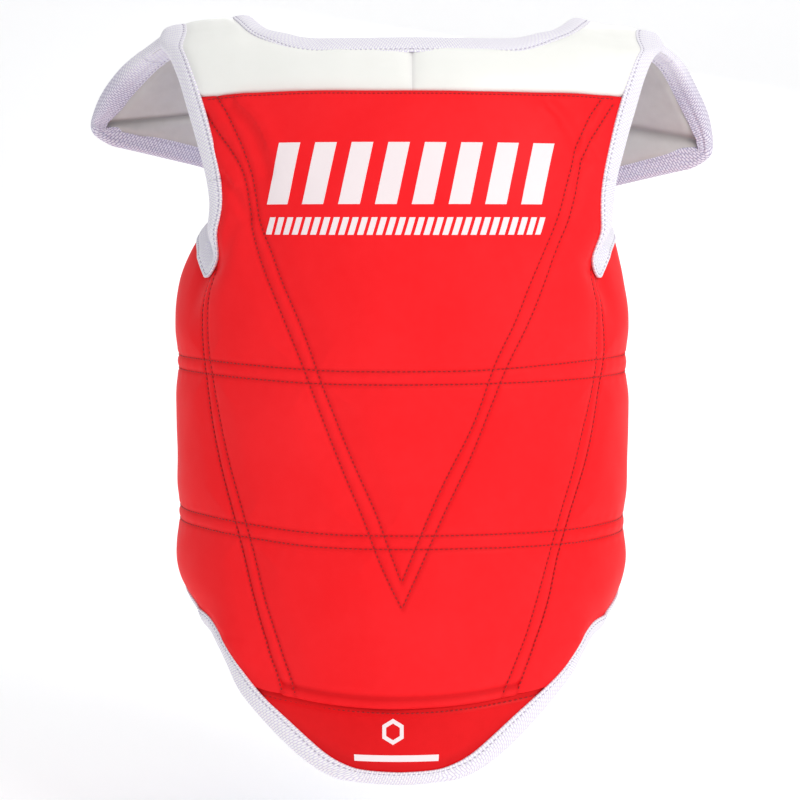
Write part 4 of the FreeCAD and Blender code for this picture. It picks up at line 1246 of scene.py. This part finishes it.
def sew(name, rows, lift, attach, size=(1.9, 0.36, 0.12), material=RED_THREAD,
        slot="red_cover"):
    """Stitches of a (length, radius, bow) along rows of (centres, tangents, normals)."""
    centres, tangents_, normals = (np.concatenate(part) for part in zip(*rows))
    centres = centres + normals * lift
    ahead = unit(tangents_)
    up = unit(normals - ahead * np.sum(ahead * normals, -1, keepdims=True))
    template, template_faces = stitch_template(*size)
    points = centres[:, None]
    for k, axis in enumerate((ahead, np.cross(up, ahead), up)):
        points = points + axis[:, None] * template[None, :, k:k + 1]
    count = len(template)
    faces = [[v + i * count for v in f] for i in range(len(centres)) for f in template_faces]
    finish(make(name, points.reshape(-1, 3), faces, material, {}, 80.0), attach, slot)


def stitch_row(points, normals, pitch, start=1.0):
    """Evenly spaced centres, tangents and normals along a polyline."""
    run = run_length(points)
    at = np.arange(start, run[-1] - 0.5, pitch)
    ahead = unit(np.gradient(points, run, axis=0))
    return (sample(points, run, at), unit(sample(ahead, run, at)),
            unit(sample(normals, run, at)))


def quilt_stitches(points, normals, edge):
    """A row on the cover, kept clear of the binding."""
    inside = np.nonzero(edge > 7.0)[0]
    kept = slice(inside[0], inside[-1] + 1)
    return stitch_row(points[kept], normals[kept], 2.95, 0.8)


# ============================================================ folded binding tape
TRUNK = (trunk, trunk_frame, trunk_depths)
GIRDLE = (girdle, girdle_frame, trunk_depths)
FLAP = (flap, flap_frame, flap_depths)
TIP = (tip, tip_frame, flap_depths)
INNER_POINTS = 14                  # on the inner skin of a tape section
# outer skin from the tape's edge inwards: distance in, share of full height
TAPE_RIM = [(0.0, 0.0), (0.0, 0.62), (0.5, 0.95), (1.3, 0.98), (2.0, 0.62), (2.7, 0.98)]


def tape_sections(leg, proud, valley, bulge, surface, params, outward, ends=(None, None),
                  reach=(9.0, 9.0)):
    """Cross sections along a bound edge.

    leg is how far the tape reaches in, proud its clearance, outward the side it wraps.
    ends name the parameter (0 or 1) that a strip's end sections line up with, over reach.
    Returns sections, widths across the tape, front and back stitch lines, normals.
    """
    surface, frame, depths = surface
    p, q = params.T
    points = surface(p, q)
    along_p, along_q, normals = frame(p, q)
    out = unit(np.cross(unit(np.gradient(points, axis=0)), normals) * outward)
    run = run_length(points)
    for end, far, span in ((ends[0], run, reach[0]), (ends[1], run[-1] - run, reach[1])):
        if end is not None:
            line = (along_p, along_q)[end]
            line = unit(line - normals * np.sum(line * normals, -1, keepdims=True))
            line = line * np.where(np.sum(line * out, -1, keepdims=True) < 0, -1, 1)
            share = (1 - rise(far, 0, span))[:, None]
            out = unit(out * (1 - share) + line * share)
    # parameter steps for one millimetre outwards
    dot_pp, dot_pq, dot_qq = ((a * b).sum(-1) for a, b in
                              ((along_p, along_p), (along_p, along_q), (along_q, along_q)))
    out_p, out_q = (out * along_p).sum(-1), (out * along_q).sum(-1)
    det = dot_pp * dot_qq - dot_pq * dot_pq
    step_p = (dot_qq * out_p - dot_pq * out_q) / det
    step_q = (dot_pp * out_q - dot_pq * out_p) / det

    top, low = depths(points, 0.0 * p)
    leg = leg(points)
    proud = proud(points) if callable(proud) else proud
    height = low - top + 2 * (proud + TAPE)
    radius = np.minimum(height / 2, np.minimum(4.8, leg - 3.0))
    centre = proud + TAPE + 0.15 - radius

    def place(e, depth_of):
        """Points e outwards of the edge, at a depth worked out from both skins."""
        inside = np.minimum(e, 0)
        at = p + step_p * inside, q + step_q * inside
        depth = depth_of(*depths(points, -inside))
        return (surface(*at) + out * np.maximum(e, 0.0)[:, None]
                - frame(*at)[2] * depth[:, None])

    def front(e, lift):
        return place(e, lambda top, low: top - lift)

    def back(e, lift):
        return place(e, lambda top, low: low + lift)

    skin, widths = [], []

    def add(row, width):
        skin.append(row)
        widths.append(width)

    fit = np.clip((leg - 3.7) / 5.0, 0.4, 1.0)
    rim = [(offset, -leg + offset * fit, share) for offset, share in
           TAPE_RIM + [(3.8, 1.0 + bulge * 0.6), (5.0, 1.0 + bulge)]]
    start = rim[-1][1]
    turns = [math.pi / 2 * k / 7 for k in range(8)]
    for _, e, share in rim:
        add(front(e, proud * min(share * 2, 1) + TAPE * share), leg + e)
    for share in (0.4, 0.8):
        e = start + (centre - start) * share
        add(front(e, proud + TAPE * (1 + bulge * (1 - share))), leg + e)
    for turn in turns:
        lift = proud + TAPE - radius * (1 - math.cos(turn))
        add(front(centre + radius * math.sin(turn), lift), leg + centre + radius * turn)
    base = leg + centre + radius * math.pi / 2 + np.maximum(height - 2 * radius, 0.0)
    for turn in turns[::-1]:
        lift = proud + TAPE - radius * (1 - math.cos(turn))
        add(back(centre + radius * math.sin(turn), lift), base + radius * (math.pi / 2 - turn))
    base = base + radius * math.pi / 2
    for share, dip in ((0.8, 0.45), (0.4, 1.0)):
        e = start + (centre - start) * share
        add(back(e, proud + TAPE * (1 - valley * dip)), base + (centre - e))
    for offset, e, share in rim[::-1]:
        dip = valley * bell(offset - 5.0, 1.2)
        lift = proud * min(share * 2, 1) + TAPE * (min(share, 1.0) - dip)
        add(back(e, lift), base + (centre - e))
    stitch_front, stitch_back = skin[4], skin[-5]

    # inner skin, close round the padding
    flats = (-leg + 0.3, -leg + 2.6, 0 * leg - 4.0)
    inner_r = radius - 1.2
    bends = [(np.minimum(np.minimum(centre, -0.2) + inner_r * math.sin(turn), 0.25),
              0.2 + inner_r * (1 - math.cos(turn))) for turn in (0.0, 0.5, 1.0, 1.3)]
    skin += [back(e, 0.02) for e in flats]
    for e, inset in bends:
        skin.append(place(e, lambda top, low: np.maximum(low - inset, (top + low) / 2 + 0.1)))
    for e, inset in bends[::-1]:
        skin.append(place(e, lambda top, low: np.minimum(top + inset, (top + low) / 2 - 0.1)))
    skin += [front(e, 0.02) for e in flats[::-1]]
    widths = np.concatenate([np.stack(widths, 1), np.zeros((len(p), INNER_POINTS))], 1)
    return np.stack(skin, 1), widths, stitch_front, stitch_back, normals


def tape_faces(n, m):
    """Skin round n sections of m points, and end caps between outer and inner skin."""
    i, j = grid(np.arange(n - 1), np.arange(m))
    k = (j + 1) % m
    faces = np.stack([a.ravel() for a in (i * m + j, (i + 1) * m + j, (i + 1) * m + k,
                                          i * m + k)], -1).tolist()
    last_outer, last_inner = m - INNER_POINTS - 1, INNER_POINTS - 1
    for row in (0, n - 1):
        base = row * m
        a = b = 0
        while a < last_outer or b < last_inner:
            end = base + m - 1 - b
            if b >= last_inner or (a < last_outer and a / last_outer <= b / last_inner):
                triangle = [base + a, base + a + 1, end]
                a += 1
            else:
                triangle = [base + a, end - 1, end]
                b += 1
            faces.append(triangle[::-1] if row == 0 else triangle)
    return faces


def tape(name, strips, attach, sign, leg, replaced, proud=0.4, valley=0.6, bulge=0.35,
         shade=0.0):
    """Binding tape with its stitches; strips hold the last arguments of tape_sections."""
    parts = [tape_sections(leg, proud, valley, bulge, *strip) for strip in strips]
    section, widths, front, back, normals = (np.concatenate(part) for part in zip(*parts))
    section, front, back, normals = (mirror(a, sign) for a in (section, front, back, normals))
    n, m = section.shape[:2]
    run = run_length(front)
    # painted shade: shade sets how far the tape takes the shaded colours, fading in from both
    # ends
    shading = shade * smooth(np.minimum(run, run[-1] - run) / 36.0)
    mesh = new_mesh(name, section.reshape(-1, 3), tape_faces(n, m),
                    {"tape_u": np.repeat(run, m), "tape_v": widths,
                     "tape_shade": np.repeat(shading, m)})
    work = bmesh.new()
    work.from_mesh(mesh)
    bmesh.ops.recalc_face_normals(work, faces=work.faces)
    for face in work.faces:
        face.smooth = True
        if len(face.verts) == 3:
            for edge in face.edges:
                if any(len(f.verts) == 4 for f in edge.link_faces):
                    edge.smooth = False
    work.to_mesh(mesh)
    work.free()
    mesh.materials.append(BINDING)
    finish(link_object(name, mesh), attach, "white_tape", *replaced)
    centres, ahead, up = stitch_row(back, normals, 2.9)
    sew(name + "_stitches", [stitch_row(front, normals, 2.9), (centres, ahead, -up)], 0.05,
        attach, (1.7, 0.34, 0.16), WHITE_THREAD, "white_tape")


def resample(curve, start, end, surface, gap=1.6):
    """Parameters of an edge at even spacing in space."""
    params = curve(np.linspace(start, end, 600))
    run = run_length(surface(*params.T))
    return sample(params, run, np.linspace(0, run[-1], max(int(run[-1] / gap), 6)))


def trunk_leg(points):
    """Reach of the tape: narrow at the bottom of the hem, wider at the sides and armholes."""
    x, y, z = points.T
    across = np.abs(x)
    hem = 7.4 + 4.6 * rise(across, 25, 50) - 1.0 * rise(across, 100, 27)
    return np.where((z < 200) & (y < -30), hem, 11.0 + 2.0 * rise(z, 322, 22) * fall(y, -3, 16))


def neck_leg(points):
    x, y, _ = points.T
    return 11.0 + (1.5 + 4.5 * fall(np.abs(x), 90, 40)) * fall(y, -3, 20)


def flap_leg(points):
    """Narrower round the two corners of the tip."""
    outer = np.linalg.norm(points - np.array([199.0, 62.0, 384.0]), axis=-1)
    inner = np.linalg.norm(points - np.array([59.0, 95.0, 350.0]), axis=-1)
    return 11.0 - 3.6 * bell(outer, 15.0) - 2.0 * bell(inner, 18.0)


def side_proud(points):
    return 0.45 + 0.8 * near_corner(points, 13.0)


def flap_side(a, start, end, count):
    """Parameters down one edge of the flap."""
    b = np.linspace(start, end, count)
    return np.stack([0 * b + a, b], -1)


def side_tapes(sign, side):
    split, join = 352.0, 0.30      # armhole h and flap share where tapes meet
    u = shares(4000)
    split_u = u[np.argmin(np.abs(ARM_EDGE(u)[:, 1] - split) + (u > 0.93) * 9)]
    # neck: centre front, over the crest and a little way down the flap's inner edge
    tape("neck_tape_" + side,
         [(TRUNK, resample(NECK_EDGE, 0.0, 0.985, trunk), -1, (None, 0)),
          (FLAP, flap_side(0, 0.0, join, 22)[1:], -1, (0, None))],
         bend_crest(), sign, neck_leg,
         ("neck_binding", "flap_binding_inner_" + side), proud=0.35)
    # shoulder: upper armhole edge, over the crest, down the flap's outer edge
    tape("shoulder_tape_" + side,
         [(TRUNK, resample(ARM_EDGE, split_u, 0.012, trunk), 1, (None, 0)),
          (FLAP, flap_side(1, 0.0, join, 24)[1:], 1, (0, None))],
         bend_crest(), sign, trunk_leg,
         ("armhole_binding_" + side, "flap_binding_outer_" + side))
    # flap: both edges and round the tip, darkened with painted shade
    tape("flap_tape_" + side,
         [(FLAP, flap_side(0, join, 1.0, 54), -1, (None, 0), (9, 6)),
          (TIP, TIP_EDGE(shares(150))[1:], -1, (0, 0), (6, 6)),
          (FLAP, flap_side(1, join, 1.0, 54)[::-1][1:], -1, (0, None), (6, 9))],
         bend_fold(sign), sign, flap_leg,
         tuple(name + side for name in ("flap_tip_binding_", "flap_binding_inner_",
                                        "flap_binding_outer_")),
         proud=0.6, valley=0.48, bulge=0.55, shade=1.0)
    # side: lower armhole, wing top, rear edge, wing bottom, hem side
    x = np.linspace(HINGE_X, 100.0, 20)
    tape("side_tape_" + side,
         [(TRUNK, resample(ARM_EDGE, split_u, 1.0, trunk), -1, (None, 1), (9, 2.5)),
          (GIRDLE, resample(WING_EDGE, 0.0, 1.0, girdle)[1:-1], -1, (1, 1)),
          (TRUNK, np.stack([x, hem_z(x)], -1), -1, (1, None))],
         bend_side(sign), sign, trunk_leg,
         ("wing_binding_" + side, "armhole_binding_" + side), proud=side_proud)


def hem_tape():
    x = np.linspace(-100.0, 100.0, 150)
    tape("hem_tape", [(TRUNK, np.stack([x, hem_z(np.abs(x))], -1), 1)], ride_torso, 1,
         trunk_leg, ("hem_binding",), proud=0.45)


for sign, side in SIDES:
    side_tapes(sign, side)
hem_tape()


# ============================================================ stitches on the cover
def front_stitches(name, lines):
    """Rows from (table, sign) pairs, a little uneven in height."""
    rows = []
    for table, sign in lines:
        x, h = path(table)(shares(500)).T
        rows.append(quilt_stitches(*trunk_cover(x * sign, h)))
    uneven = RNG.normal(size=(sum(len(row[0]) for row in rows), 1)) * 0.06
    sew(name, rows, 0.10 + uneven * 0.3, ride_torso)


def horizontal_stitches():
    rows = []
    for row in H_ROWS:
        x = np.linspace(-CHEST_EDGE[-1](row[0]) + 0.4, CHEST_EDGE[1](row[0]) - 0.4, 700)
        rows.append(quilt_stitches(*trunk_cover(x, row_height(row, x))))
    sew("horizontal_stitches", rows, 0.1, ride_torso)


def side_stitches(sign, side):
    """Outer diagonal, horizontal rows and the upright pair on a side panel."""
    lines = [path([(s_of_x(x) + 0.3, h) for x, h in D_OUT[sign]])(shares(500)).T]
    for row in H_ROWS:
        start = s_of_x(CHEST_EDGE[sign](row_height(row, sign * 120.0)))
        s = np.linspace(start + 0.6, S_END - 6, 700)
        lines.append((s, row_height(row, sign * row_width(s))))
    for degrees in WING_ROWS_DEG:
        s = s_of_deg(degrees)
        z = np.linspace(wing_bottom(s) + 9, wing_top(s) - 9, 400)
        lines.append((np.full(400, s), z))
    sew("side_stitches_" + side,
        [quilt_stitches(*cover(*on_girdle(s, z, sign))) for s, z in lines], 0.1,
        bend_side(sign))


def seam_stitches():
    """The row under the yoke and the row below the folded hem seam."""
    points, normals, _ = trunk_cover(np.linspace(-116, 116, 600), np.full(600, SEAM_H - 1.9),
                                     -0.4)
    sew("yoke_seam_stitches", [stitch_row(points, normals, 2.6)], 0.05, ride_torso,
        (1.8, 0.3, 0.1))
    x = np.linspace(-80, 80, 500)
    points, normals, _ = hem_cover(x, hem_seam(x) - 3.4, wave=0.0)
    sew("hem_seam_stitches", [stitch_row(points, normals, 2.9)], 0.1, ride_torso,
        (1.9, 0.34, 0.12))


front_stitches("v_stitches", [(lines[k], 1) for lines in (V_IN, V_OUT) for k in (-1, 1)])
front_stitches("diagonal_stitches", [(D_IN[k], k) for k in (-1, 1)])
horizontal_stitches()
for sign, side in SIDES:
    side_stitches(sign, side)
seam_stitches()


# ============================================================ printed marks
def decal(name, quads, face):
    """Thin printed patches on a cover face.

    quads hold four (x, h) corners, counter-clockwise from bottom left, and two point counts.
    """
    lift, thickness = 0.22, 0.3
    all_points, faces, offset = [], [], 0
    for corners, columns, rows in quads:
        u, v = (k[..., None] for k in grid(shares(columns), shares(rows)))
        a, b, c, d = np.array(corners, float)
        flat = a * (1 - u) * (1 - v) + b * u * (1 - v) + c * u * v + d * (1 - u) * v
        points, normals, _ = face(flat[..., 0], flat[..., 1])
        for height in (lift, lift - thickness):
            all_points.append((points + normals * height).reshape(-1, 3))
        faces += (slab_faces(columns, rows) + offset).tolist()
        offset += 2 * columns * rows
    obj = make(name, np.concatenate(all_points), faces, PRINT, {"hollow": np.zeros(offset)})
    finish(obj, ride_torso, "red_cover")


def slanted_bars(lefts, width, low, high, lean_low, lean_high, columns, rows):
    return [(((x, low), (x + width - lean_low, low), (x + width + lean_high, high),
              (x + lean_low + lean_high, high)), columns, rows) for x in lefts]


def chest_marks():
    edges = np.linspace(-83.6, 83.4, 9)
    decal("chest_bars", slanted_bars(edges[:-1], (edges[1] - edges[0]) * 0.66, 338.5, 374.5,
                                     1.5, 6.0, 16, 40), trunk_cover)
    count = 30
    decal("chest_ticks", slanted_bars([-83.1 + 161.0 * k / count for k in range(count)], 3.4,
                                      321.0, 331.0, 0.0, 1.8, 5, 11), trunk_cover)


def hem_marks():
    """A hexagonal ring over a bar."""
    centre_x, centre_z, outer, inner = -3.4, 31.6, 7.2, 4.6
    left, right, low, high = -26.4, 23.6, 14.6, 18.4

    def corner(radius, degrees):
        angle = math.radians(degrees)
        return centre_x + radius * math.cos(angle), centre_z + radius * math.sin(angle)

    quads = [((corner(inner, a), corner(outer, a), corner(outer, a + 60),
               corner(inner, a + 60)), 5, 9) for a in range(30, 390, 60)]
    quads.append((((left, low), (right, low), (right, high), (left, high)), 50, 5))
    decal("hem_marks", quads, hem_cover)


chest_marks()
hem_marks()

# ============================================================ straps, tabs, rings, belt
WEB_W, WEB_T, BELT_W, BELT_Z = 25.0, 1.6, 38.0, 208.0
RING_R, RING_H, TAB_T = 2.0, 10.0, 2.8      # ring wire radius, ring height, tab thickness
STRAP_DEG, STRAP_Z0, HOOK_Z0 = 146.5, 246.0, 268.0
TIP_TAB_A, RING_BELOW = 0.15, 14.0          # tab's place across the tip; ring bar under it
BELT_FROM_DEG, BELT_BAR_DEG, TAB_L = 128.0, 160.2, 26.0
BELT_HOOK_L, HOOK_W = 62.0, 36.0
WEB_LIFT, HOOK_LIFT = 0.6, 0.9 + WEB_T      # undersides above the trunk's ellipse
UP = np.array([0, 0, 1.0])

# frame of the strap ring: across, down along the tip, and outwards
_tab_point = tip(TIP_TAB_A, 0.72)
RING_OUT = tip_frame(TIP_TAB_A, 0.72)[2]
RING_ACROSS = unit(np.cross(UP, RING_OUT))
RING_DOWN = -unit(np.cross(RING_OUT, RING_ACROSS))
TAB_RUN = (_tab_point[2] - tip(TIP_TAB_A, 1.0)[2] + RING_BELOW) / -RING_DOWN[2]
RING_BAR = _tab_point + RING_DOWN * TAB_RUN + RING_OUT * (0.9 + TAB_T / 2)
STRAP_TOP = RING_BAR + RING_DOWN * (RING_H + RING_R + 0.6)
STRAP_S = s_of_deg(STRAP_DEG)


def ring(name, frame, width, body, sign, replaced):
    """Rounded rectangular ring of round wire, its bar at the frame's origin."""
    origin, across, out, down = frame
    half, corner = width / 2 + RING_R, 3.0
    turns = []
    for x, z, start in ((half - corner, corner, -90), (half - corner, RING_H - corner, 0),
                        (corner - half, RING_H - corner, 90), (corner - half, corner, 180)):
        for k in range(7):
            angle = math.radians(start + 15 * k)
            turns.append((x + corner * math.cos(angle), z + corner * math.sin(angle)))
    turns = np.array(turns)
    centres = origin + np.outer(turns[:, 0], across) + np.outer(turns[:, 1], down)
    ahead = unit(np.roll(centres, -1, 0) - np.roll(centres, 1, 0))
    sideways = unit(np.cross(ahead, out))[:, None]
    angle = np.linspace(0, 2 * math.pi, 15)[:-1, None]
    wire = centres[:, None] + RING_R * (np.cos(angle) * out + np.sin(angle) * sideways)
    n, m = wire.shape[:2]
    i, j = (k.ravel() for k in grid(np.arange(n), np.arange(m)))
    next_i, next_j = (i + 1) % n, (j + 1) % m
    faces = np.stack([i * m + j, next_i * m + j, next_i * m + next_j, i * m + next_j], -1)
    obj = make(name, mirror(wire, sign).reshape(-1, 3), faces.tolist(), RING, {}, 80.0)
    finish(obj, ride(body), "ring_plastic", replaced)


def tab(name, frame, width, length, curve_r, material, body, sign, replaced):
    """Doubled webbing sewn flat, its round loop over the ring bar."""
    origin, across, out, down = frame
    hole_r = RING_R + 0.1
    back = np.linspace(length, 3.2, 26)
    angle = np.radians(np.linspace(152, -152, 26))

    def layer(height):
        return np.stack([-back, -back * back / (2 * curve_r) + height], -1)

    def loop(radius):
        return radius * np.stack([np.cos(angle), np.sin(angle)], -1)

    outer = np.concatenate([layer(TAB_T / 2), loop(hole_r + 1.3), layer(-TAB_T / 2)[::-1]])
    # a sliver between the two layers, then round the bar
    upper, lower = layer(0.12), layer(-0.12)
    upper[-1, 1], lower[-1, 1] = 0.5, -0.5
    inner = np.concatenate([upper, loop(hole_r), lower[::-1]])
    half = width / 2
    places = np.concatenate([[-half], np.linspace(-half + 0.8, half - 0.8, 12), [half]])
    outer_skin, inner_skin = (
        mirror(origin + np.outer(line[:, 0], down) + np.outer(line[:, 1], out)
               + places[:, None, None] * across, sign) for line in (outer, inner))
    over, along = grid(places + half, run_length(outer))
    obj = slab(name, outer_skin, inner_skin, material, {"tape_u": along, "tape_v": over})
    finish(obj, ride(body), "webbing", replaced)


def web_places(width, second, inner, count):
    """Places across a webbing, closer at the selvedges; second and inner are insets."""
    half = width / 2
    rim = np.array([half, half - 0.3, half - second])
    return np.concatenate([-rim, np.linspace(inner - half, half - inner, count), rim[::-1]])


def web(name, surface, places, along, bottom, material, body, sign, slot, replaced):
    """Webbing on surface(across, along, height), with rolled selvedges."""
    over, along = grid(places, along)
    half = places[-1]
    roll = 1 - np.sqrt(np.maximum(1 - np.clip((np.abs(over) - (half - 0.9)) / 0.9, 0, 1) ** 2, 0))
    thick = WEB_T / 2 * (1 - 0.75 * roll)
    middle = bottom + WEB_T / 2
    obj = slab(name, mirror(surface(over, along, middle + thick), sign),
               mirror(surface(over, along, middle - thick), sign), material,
               {"tape_u": along, "tape_v": over + half})
    finish(obj, ride(body), slot, replaced)


def strap_surface(across, z, height):
    """On the wing below, turning into the plane of the strap ring above."""
    on_wing = ellipse(angle_of_s(STRAP_S + across), z)
    on_wing = on_wing + radial(on_wing) * height[..., None]
    down = (z - STRAP_TOP[2]) / RING_DOWN[2]
    at_ring = (STRAP_TOP + down[..., None] * RING_DOWN + across[..., None] * RING_ACROSS
               + (height - 2.35)[..., None] * RING_OUT)
    share = rise(z, 272.0, STRAP_TOP[2] - 272.0)[..., None]
    return on_wing * (1 - share) + at_ring * share


def belt_surface(across, s, height):
    points = ellipse(angle_of_s(s), BELT_Z + across)
    return points + radial(points) * height[..., None]


def back_strap(sign, side):
    frame = RING_BAR, RING_ACROSS, RING_OUT, RING_DOWN
    ring("strap_ring_loop_" + side, frame, WEB_W + 2.5, "strap_ring_" + side, sign,
         "strap_ring_" + side)
    tab("ring_tab_web_" + side, frame, WEB_W, TAB_RUN + 8.0, 1e9, STRAP_WEB,
        "flap_tip_" + side, sign, "ring_tab_" + side)
    places = web_places(WEB_W, 0.7, 1.5, 14)
    web("back_strap_web_" + side, strap_surface, places,
        np.linspace(STRAP_Z0, STRAP_TOP[2], 60), WEB_LIFT, STRAP_WEB, "wing_" + side, sign,
        "elastic_webbing", "back_strap_" + side)
    web("strap_hook_web_" + side, strap_surface, places,
        np.linspace(HOOK_Z0, STRAP_TOP[2] - 0.5, 44), HOOK_LIFT, HOOK, "wing_" + side, sign,
        "hook_tape", "strap_hook_tab_" + side)


def belt():
    """Ring and tab on the right wing; belt round the back from the left wing."""
    angle = math.radians(BELT_BAR_DEG)
    bar = mirror(ellipse(angle, BELT_Z), -1)
    out = radial(bar)
    frame = bar + out * (0.9 + TAB_T / 2), UP, out, unit(np.cross(out, UP))
    ring("belt_ring_loop", frame, BELT_W + 2.5, "belt_ring", 1, "belt_ring")
    tab("belt_ring_tab_web", frame, BELT_W, TAB_L + 9.0, 146.0, BELT_WEB, "wing_right", 1,
        "belt_ring_tab")
    rate = math.hypot(HALF_W * math.cos(angle), HALF_D * math.sin(angle)) + 2.0
    start = s_of_deg(BELT_FROM_DEG)
    end = s_of_deg(360.0 - BELT_BAR_DEG - math.degrees((RING_H + RING_R + 0.8) / rate))
    web("waist_belt_web", belt_surface, web_places(BELT_W, 0.8, 1.6, 20),
        np.linspace(start, end, 110), WEB_LIFT, BELT_WEB, "wing_left", 1, "webbing",
        "waist_belt")
    web("belt_hook_web", belt_surface, web_places(HOOK_W, 0.8, 1.6, 18),
        np.linspace(end - BELT_HOOK_L, end - 0.5, 44), HOOK_LIFT, HOOK, "wing_left", 1,
        "hook_tape", "belt_hook_tab")


for sign, side in SIDES:
    back_strap(sign, side)
belt()


# ============================================================ studio, metres
def studio_world():
    """Soft light all round; seen directly it is as pale as the floor."""
    glow, extra_for_camera = 0.46, 0.49
    world = bpy.data.worlds.new("studio")
    bpy.context.scene.world = world
    world.use_nodes = True
    nodes, links = world.node_tree.nodes, world.node_tree.links
    background = nodes["Background"]
    background.inputs[0].default_value = (0.96, 0.97, 1.0, 1)
    light_path = nodes.new("ShaderNodeLightPath")
    strength = nodes.new("ShaderNodeMath")
    strength.operation = "MULTIPLY_ADD"
    strength.inputs[1].default_value = extra_for_camera
    strength.inputs[2].default_value = glow
    links.new(light_path.outputs["Is Camera Ray"], strength.inputs[0])
    links.new(strength.outputs[0], background.inputs[1])


def studio_floor():
    """Floor with a curved rise into a back wall."""
    floor_z, half_width, bend = -0.085, 12.0, 1.2
    m = Material("pale_floor")
    base = m.mix(m.noise(scale=3.0, detail=2.0), (0.95, 0.95, 0.95, 1), (0.97, 0.97, 0.97, 1))
    material = m.finish(base=base, rough=0.9, spec=0.05)
    m.put(m.shader.inputs["Emission Color"], (1, 1, 1, 1))
    m.put(m.shader.inputs["Emission Strength"], 0.22)
    profile = [(-12.0, 0), (1.2, 0)]
    for degrees in range(6, 91, 6):
        angle = math.radians(degrees)
        profile.append((1.2 + bend * math.sin(angle), bend - bend * math.cos(angle)))
    profile.append((2.4, 4.0))
    points = [(x, y, floor_z + z) for y, z in profile for x in (-half_width, half_width)]
    faces = [(i, i + 1, i + 3, i + 2) for i in range(0, len(points) - 2, 2)]
    mesh = bpy.data.meshes.new("studio_floor")
    mesh.from_pydata(points, [], faces)
    mesh.polygons.foreach_set("use_smooth", [True] * len(mesh.polygons))
    mesh.materials.append(material)
    link_object("studio_floor", mesh)


def area_light(name, location, aim, size, power, colour=(1, 1, 1)):
    light = bpy.data.lights.new(name, "AREA")
    light.shape = "DISK"
    light.size = size
    light.energy = power
    light.color = colour
    obj = link_object(name, light)
    obj.location = location
    toward = Vector(aim) - Vector(location)
    obj.rotation_euler = toward.to_track_quat("-Z", "Y").to_euler()


def camera():
    tilt_down = 5.5
    data = bpy.data.cameras.new("camera")
    data.sensor_width = 36.0
    data.lens = 93.5
    data.clip_end = 50.0
    obj = link_object("camera", data)
    obj.location = (-0.0013, -1.300, 0.341)
    obj.rotation_euler = (math.radians(90 - tilt_down), 0, 0)
    bpy.context.scene.camera = obj


studio_world()
studio_floor()
area_light("key", (1.5, -1.9, 1.5), aim=(0, 0, 0.25), size=1.1, power=29, colour=(1, 0.99, 0.97))
area_light("fill", (-1.7, -1.7, 0.9), aim=(0, 0, 0.22), size=1.6, power=2, colour=(0.95, 0.97, 1))
area_light("top", (0.1, 0.2, 2.3), aim=(0, 0, 0.3), size=1.6, power=8)
area_light("back", (0.3, 2.0, 1.2), aim=(0, 0, 0.3), size=1.4, power=8)
camera()
bpy.context.scene.view_settings.view_transform = "Standard"
bpy.context.scene.view_settings.look = "None"
